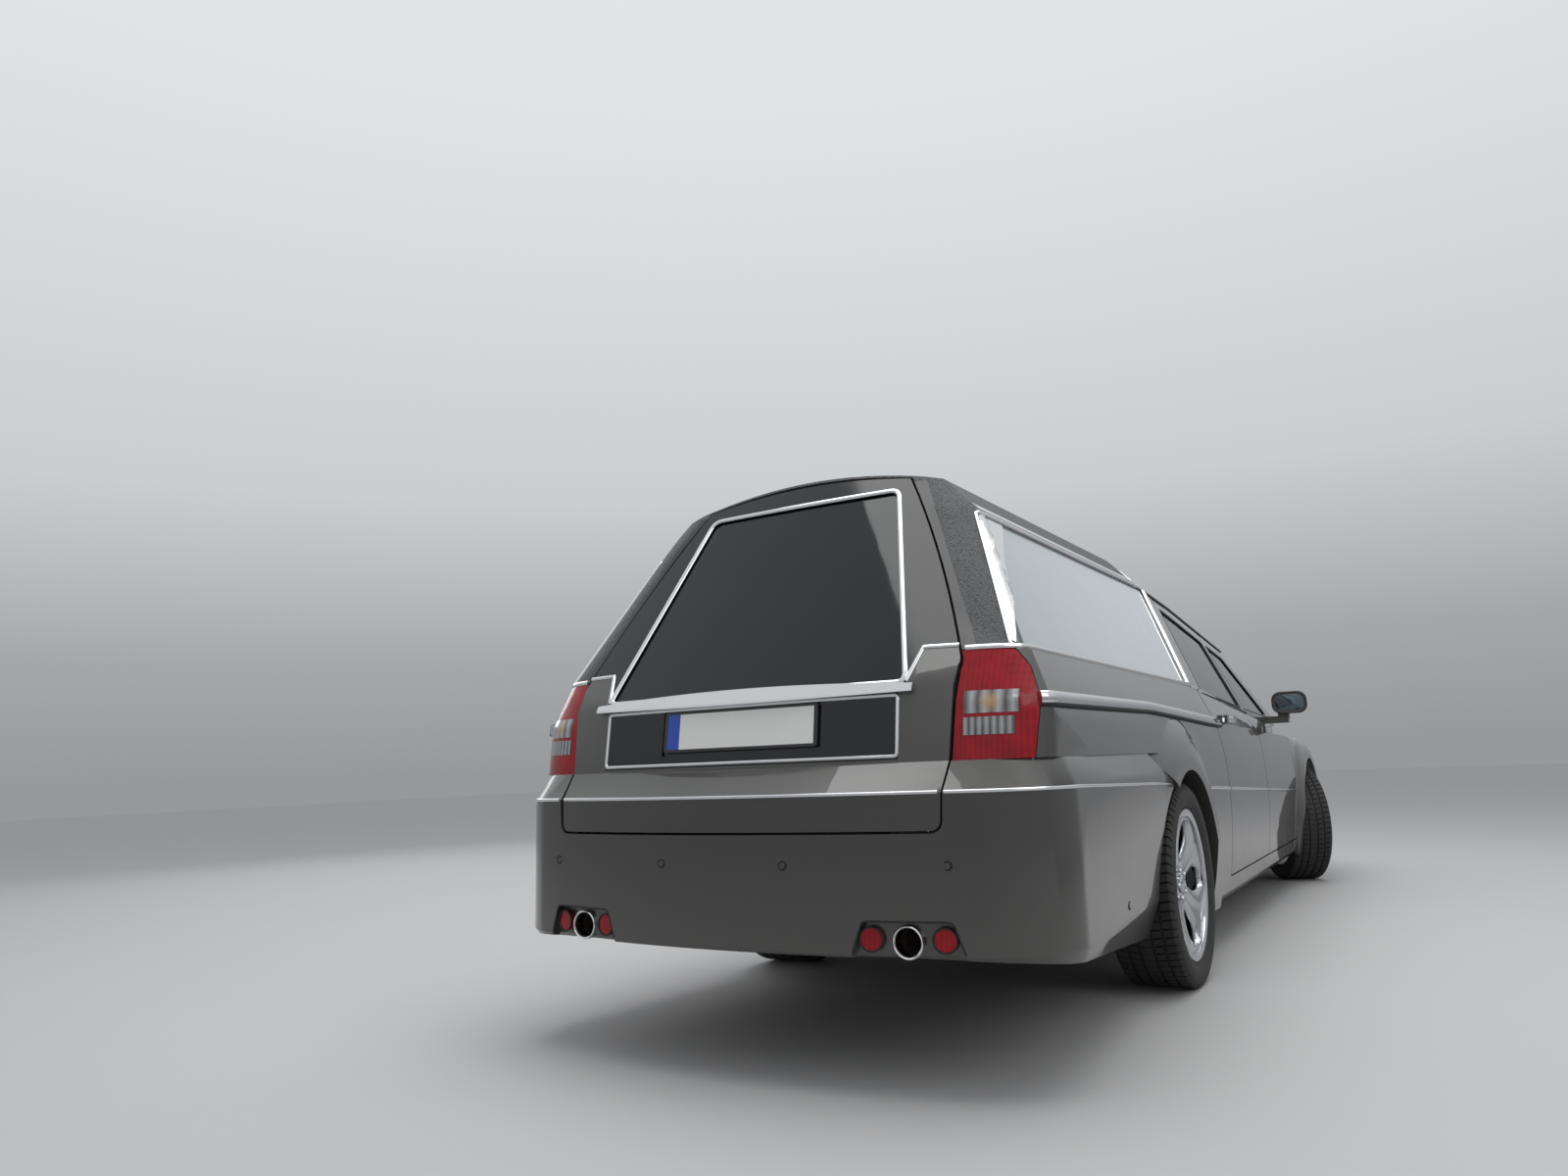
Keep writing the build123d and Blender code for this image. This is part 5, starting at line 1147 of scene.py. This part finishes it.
class HEARSE_OT_cabin(Operator):
    """Steering wheel and deck rollers"""

    bl_idname = "hearse.cabin"
    bl_label = "Cabin"

    def execute(self, context):
        t = around(20)
        ring = np.stack([0.172 + 0.0135 * np.cos(t), 0.0135 * np.sin(t)], 1)
        hub = [(0.0, -0.022), (0.040, -0.020), (0.058, -0.008), (0.060, 0.010), (0.030, 0.03), (0.026, 0.165),
               (0.0, 0.165)]
        oval = np.stack([0.017 * np.cos(t), 0.006 * np.sin(t)], 1)
        grids = [(turned(ring, 72, axis="x"), True, True, False), (turned(hub, 36, axis="x"), True, False, False)]
        reach = np.linspace(0.045, 0.165, 8)
        for angle in (0.0, np.pi, -np.pi / 2):
            spoke = np.stack([0 * reach, reach * np.cos(angle), reach * np.sin(angle)], 1)
            grids.append((carried(spoke, (-1, 0, 0), oval), False, True, True))
        place = Matrix.Translation((fore(4.540), 0.37, 0.900)) @ Matrix.Rotation(-np.arctan2(0.43, 0.9), 4, "Y")
        shape = moved(join_grids(grids), place)
        piece = make_piece("steering_ring", shape, "body", "leather", 40, "trim_plastic")
        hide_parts("steering_wheel")
        roller = [(0.0, -0.035), (0.016, -0.035), (0.019, -0.030), (0.019, 0.030), (0.016, 0.035), (0.0, 0.035)]
        grids = [
            (turned(roller, 20, spot(station, y, 0.626)), True, False, False)
            for station in np.arange(0.55, 2.3, 0.22) for y in (-0.44, 0.0, 0.44)
        ]
        make_piece("deck_rollers", join_grids(grids), "body", "chrome")
        return {"FINISHED"}


def bars(paths, wide, deep):
    """Upright bars between pairs of points, with half their width across the path and half their depth ahead."""
    section = [(wide, -deep), (wide, deep), (-wide, deep), (-wide, -deep)]
    return join_grids([(carried(path, (1, 0, 0), section), False, True, True) for path in paths])


class HEARSE_OT_front(Operator):
    """Grille slats, intake bars with the panel behind them, and wipers"""

    bl_idname = "hearse.front"
    bl_label = "Front end"

    def execute(self, context):
        face = 6.252
        slats = bars([spot(face, y, (0.640, 0.790)) for y in np.linspace(-0.41, 0.41, 42)], 0.003, 0.008)
        make_piece("grille_slats", slats, "body", "plastic")
        intake = bars([spot(face, (-0.455, 0.455), z) for z in (0.388, 0.416, 0.444, 0.472)], 0.004, 0.010)
        make_piece("intake_bars", intake, "body", "plastic")
        panel = spot(6.240, np.linspace(-0.453, 0.453, 12)[:, None], np.linspace(0.352, 0.508, 4))
        make_piece("intake_back", thin_plate(panel, (-0.004, 0, 0)), "body", "plastic")
        # Wipers lie on the windscreen, which leans back and is rounded in plan
        out_x, out_z = 0.53, 0.85
        for name, pivot, reach in (("left", 0.600, 0.600), ("right", -0.020, 0.560)):
            for part, first, last, low, high, lift, width in (
                ("blade", 0.03, 1.0, 1.047, 1.060, 0.010, 0.012),
                ("arm", 0.0, 0.52, 1.034, 1.054, 0.020, 0.016),
            ):
                t = np.linspace(first, last, 16)
                y, z = pivot - reach * t, low + (high - low) * (t - first) / (last - first)
                station = 5.180 - 1.6 * (z - 1.005) - y**2 / 7.0
                path = spot(station + out_x * lift, y, z + out_z * lift)
                trim(f"wiper_{part}_{name}", path, (out_x, 0, out_z), width, 0.007, finish="plastic", sink=0.006)
        return {"FINISHED"}


class HEARSE_OT_stage(Operator):
    """Pale floor, soft lamps, pale world and the camera at the photograph's angle"""

    bl_idname = "hearse.stage"
    bl_label = "Stage"

    def floor(self, scene):
        """A pale floor 80 m wide."""
        mesh = bpy.data.meshes.new("floor")
        mesh.from_pydata([(-40, -40, 0), (40, -40, 0), (40, 40, 0), (-40, 40, 0)], [], [(0, 1, 2, 3)])
        floor = bpy.data.objects.new("floor", mesh)
        scene.collection.objects.link(floor)
        pale = Shader("floor_pale", (0.46, 0.46, 0.46), Roughness=0.85)
        pale.feed("Base Color", pale.blend(pale.noise(1.2, 3.0) * 0.2, (0.46, 0.46, 0.46), (0.42, 0.42, 0.42)))
        mesh.materials.append(pale.material)

    def sky(self, scene):
        """A world that lights evenly, and is a gradient, pale above, where it is seen, mirrored or looked through."""
        world = bpy.data.worlds.new("studio")
        scene.world = world
        world.use_nodes = True
        sky = Nodes(world.node_tree)
        up = sky.add("ShaderNodeSeparateXYZ", sockets={0: sky.add("ShaderNodeTexCoord")}, out=2)
        gradient = sky.add("ShaderNodeValToRGB", sockets={0: up})
        ramp = gradient.socket.node.color_ramp.elements
        ramp[0].position, ramp[0].color = 0.0, (0.34, 0.35, 0.36, 1)
        ramp[1].position, ramp[1].color = 0.55, (0.84, 0.86, 0.88, 1)
        ramp.new(0.10).color = (0.42, 0.43, 0.45, 1)
        ramp.new(0.24).color = (0.66, 0.68, 0.70, 1)
        seen, mirrored, through = (
            sky.add("ShaderNodeLightPath", out=f"Is {ray} Ray") for ray in ("Camera", "Glossy", "Transmission")
        )
        backdrop = sky.blend(seen.most(mirrored).most(through), (0.60, 0.61, 0.63), gradient)
        background = sky.tree.nodes["Background"]
        sky.tree.links.new(backdrop.socket, background.inputs["Color"])
        background.inputs["Strength"].default_value = 0.9

    def lamps(self, scene):
        """Three square lamps, each aimed at a point: place, aim, width and power."""
        for name, place, aim, size, power in (
            ("top", (-1.0, -0.5, 7.0), (0, 0, 0), 7.0, 420.0),
            ("side", (-4.0, -8.0, 5.5), (-1.0, 0, 0.8), 5.0, 110.0),
            ("fill", (2.0, 8.0, 5.0), (0, 0, 0.8), 5.0, 110.0),
        ):
            light = bpy.data.lights.new(name, "AREA")
            light.size = size
            light.energy = power
            lamp = bpy.data.objects.new(name, light)
            scene.collection.objects.link(lamp)
            lamp.location = place
            lamp.rotation_euler = (Vector(aim) - Vector(place)).to_track_quat("-Z", "Y").to_euler()

    def camera(self, scene):
        """The camera solved from the photograph: its angles, its focal length in pixels and its place."""
        yaw, pitch, roll = np.radians([31.29, 9.28, -2.11])
        focal, photo_width, place = 1115.6, 1600, (-5.736, -1.820, 0.845)
        ahead = np.array([np.cos(pitch) * np.cos(yaw), np.cos(pitch) * np.sin(yaw), np.sin(pitch)])
        level = np.array([np.sin(yaw), -np.cos(yaw), 0])
        top = np.cross(level, ahead)
        right = level * np.cos(roll) + top * np.sin(roll)
        up = top * np.cos(roll) - level * np.sin(roll)
        view = bpy.data.cameras.new("view")
        view.sensor_fit = "HORIZONTAL"
        view.sensor_width = 36.0
        view.lens = 36.0 * focal / photo_width
        view.clip_start = 0.05
        camera = bpy.data.objects.new("view", view)
        scene.collection.objects.link(camera)
        turn = np.eye(4)
        turn[:3] = np.stack([right, up, -ahead, place], 1)
        camera.matrix_world = Matrix(turn.tolist())
        scene.camera = camera

    def execute(self, context):
        scene = context.scene
        self.floor(scene)
        self.sky(scene)
        self.lamps(scene)
        self.camera(scene)
        scene.view_settings.view_transform = "Standard"
        return {"FINISHED"}


class HEARSE_PT_panel(Panel):
    bl_idname = "HEARSE_PT_panel"
    bl_label = "Hearse looks"
    bl_space_type = "VIEW_3D"
    bl_region_type = "UI"
    bl_category = "Hearse"

    def draw(self, context):
        for key in HearseLooks.__annotations__:
            self.layout.prop(context.scene.hearse_looks, key)
        for operator in OPERATORS:
            self.layout.operator(operator.bl_idname)


OPERATORS = (
    HEARSE_OT_panels,
    HEARSE_OT_wheels,
    HEARSE_OT_trim,
    HEARSE_OT_gate,
    HEARSE_OT_lamps,
    HEARSE_OT_handles,
    HEARSE_OT_seats,
    HEARSE_OT_cabin,
    HEARSE_OT_front,
    HEARSE_OT_stage,
)


def register():
    for item in (HearseLooks, *OPERATORS, HEARSE_PT_panel):
        bpy.utils.register_class(item)
    bpy.types.Scene.hearse_looks = PointerProperty(type=HearseLooks)


def unregister():
    del bpy.types.Scene.hearse_looks
    for item in reversed((HearseLooks, *OPERATORS, HEARSE_PT_panel)):
        bpy.utils.unregister_class(item)


def main():
    register()
    for operator in OPERATORS:
        group, name = operator.bl_idname.split(".")
        getattr(getattr(bpy.ops, group), name)()


if __name__ == "__main__":
    main()
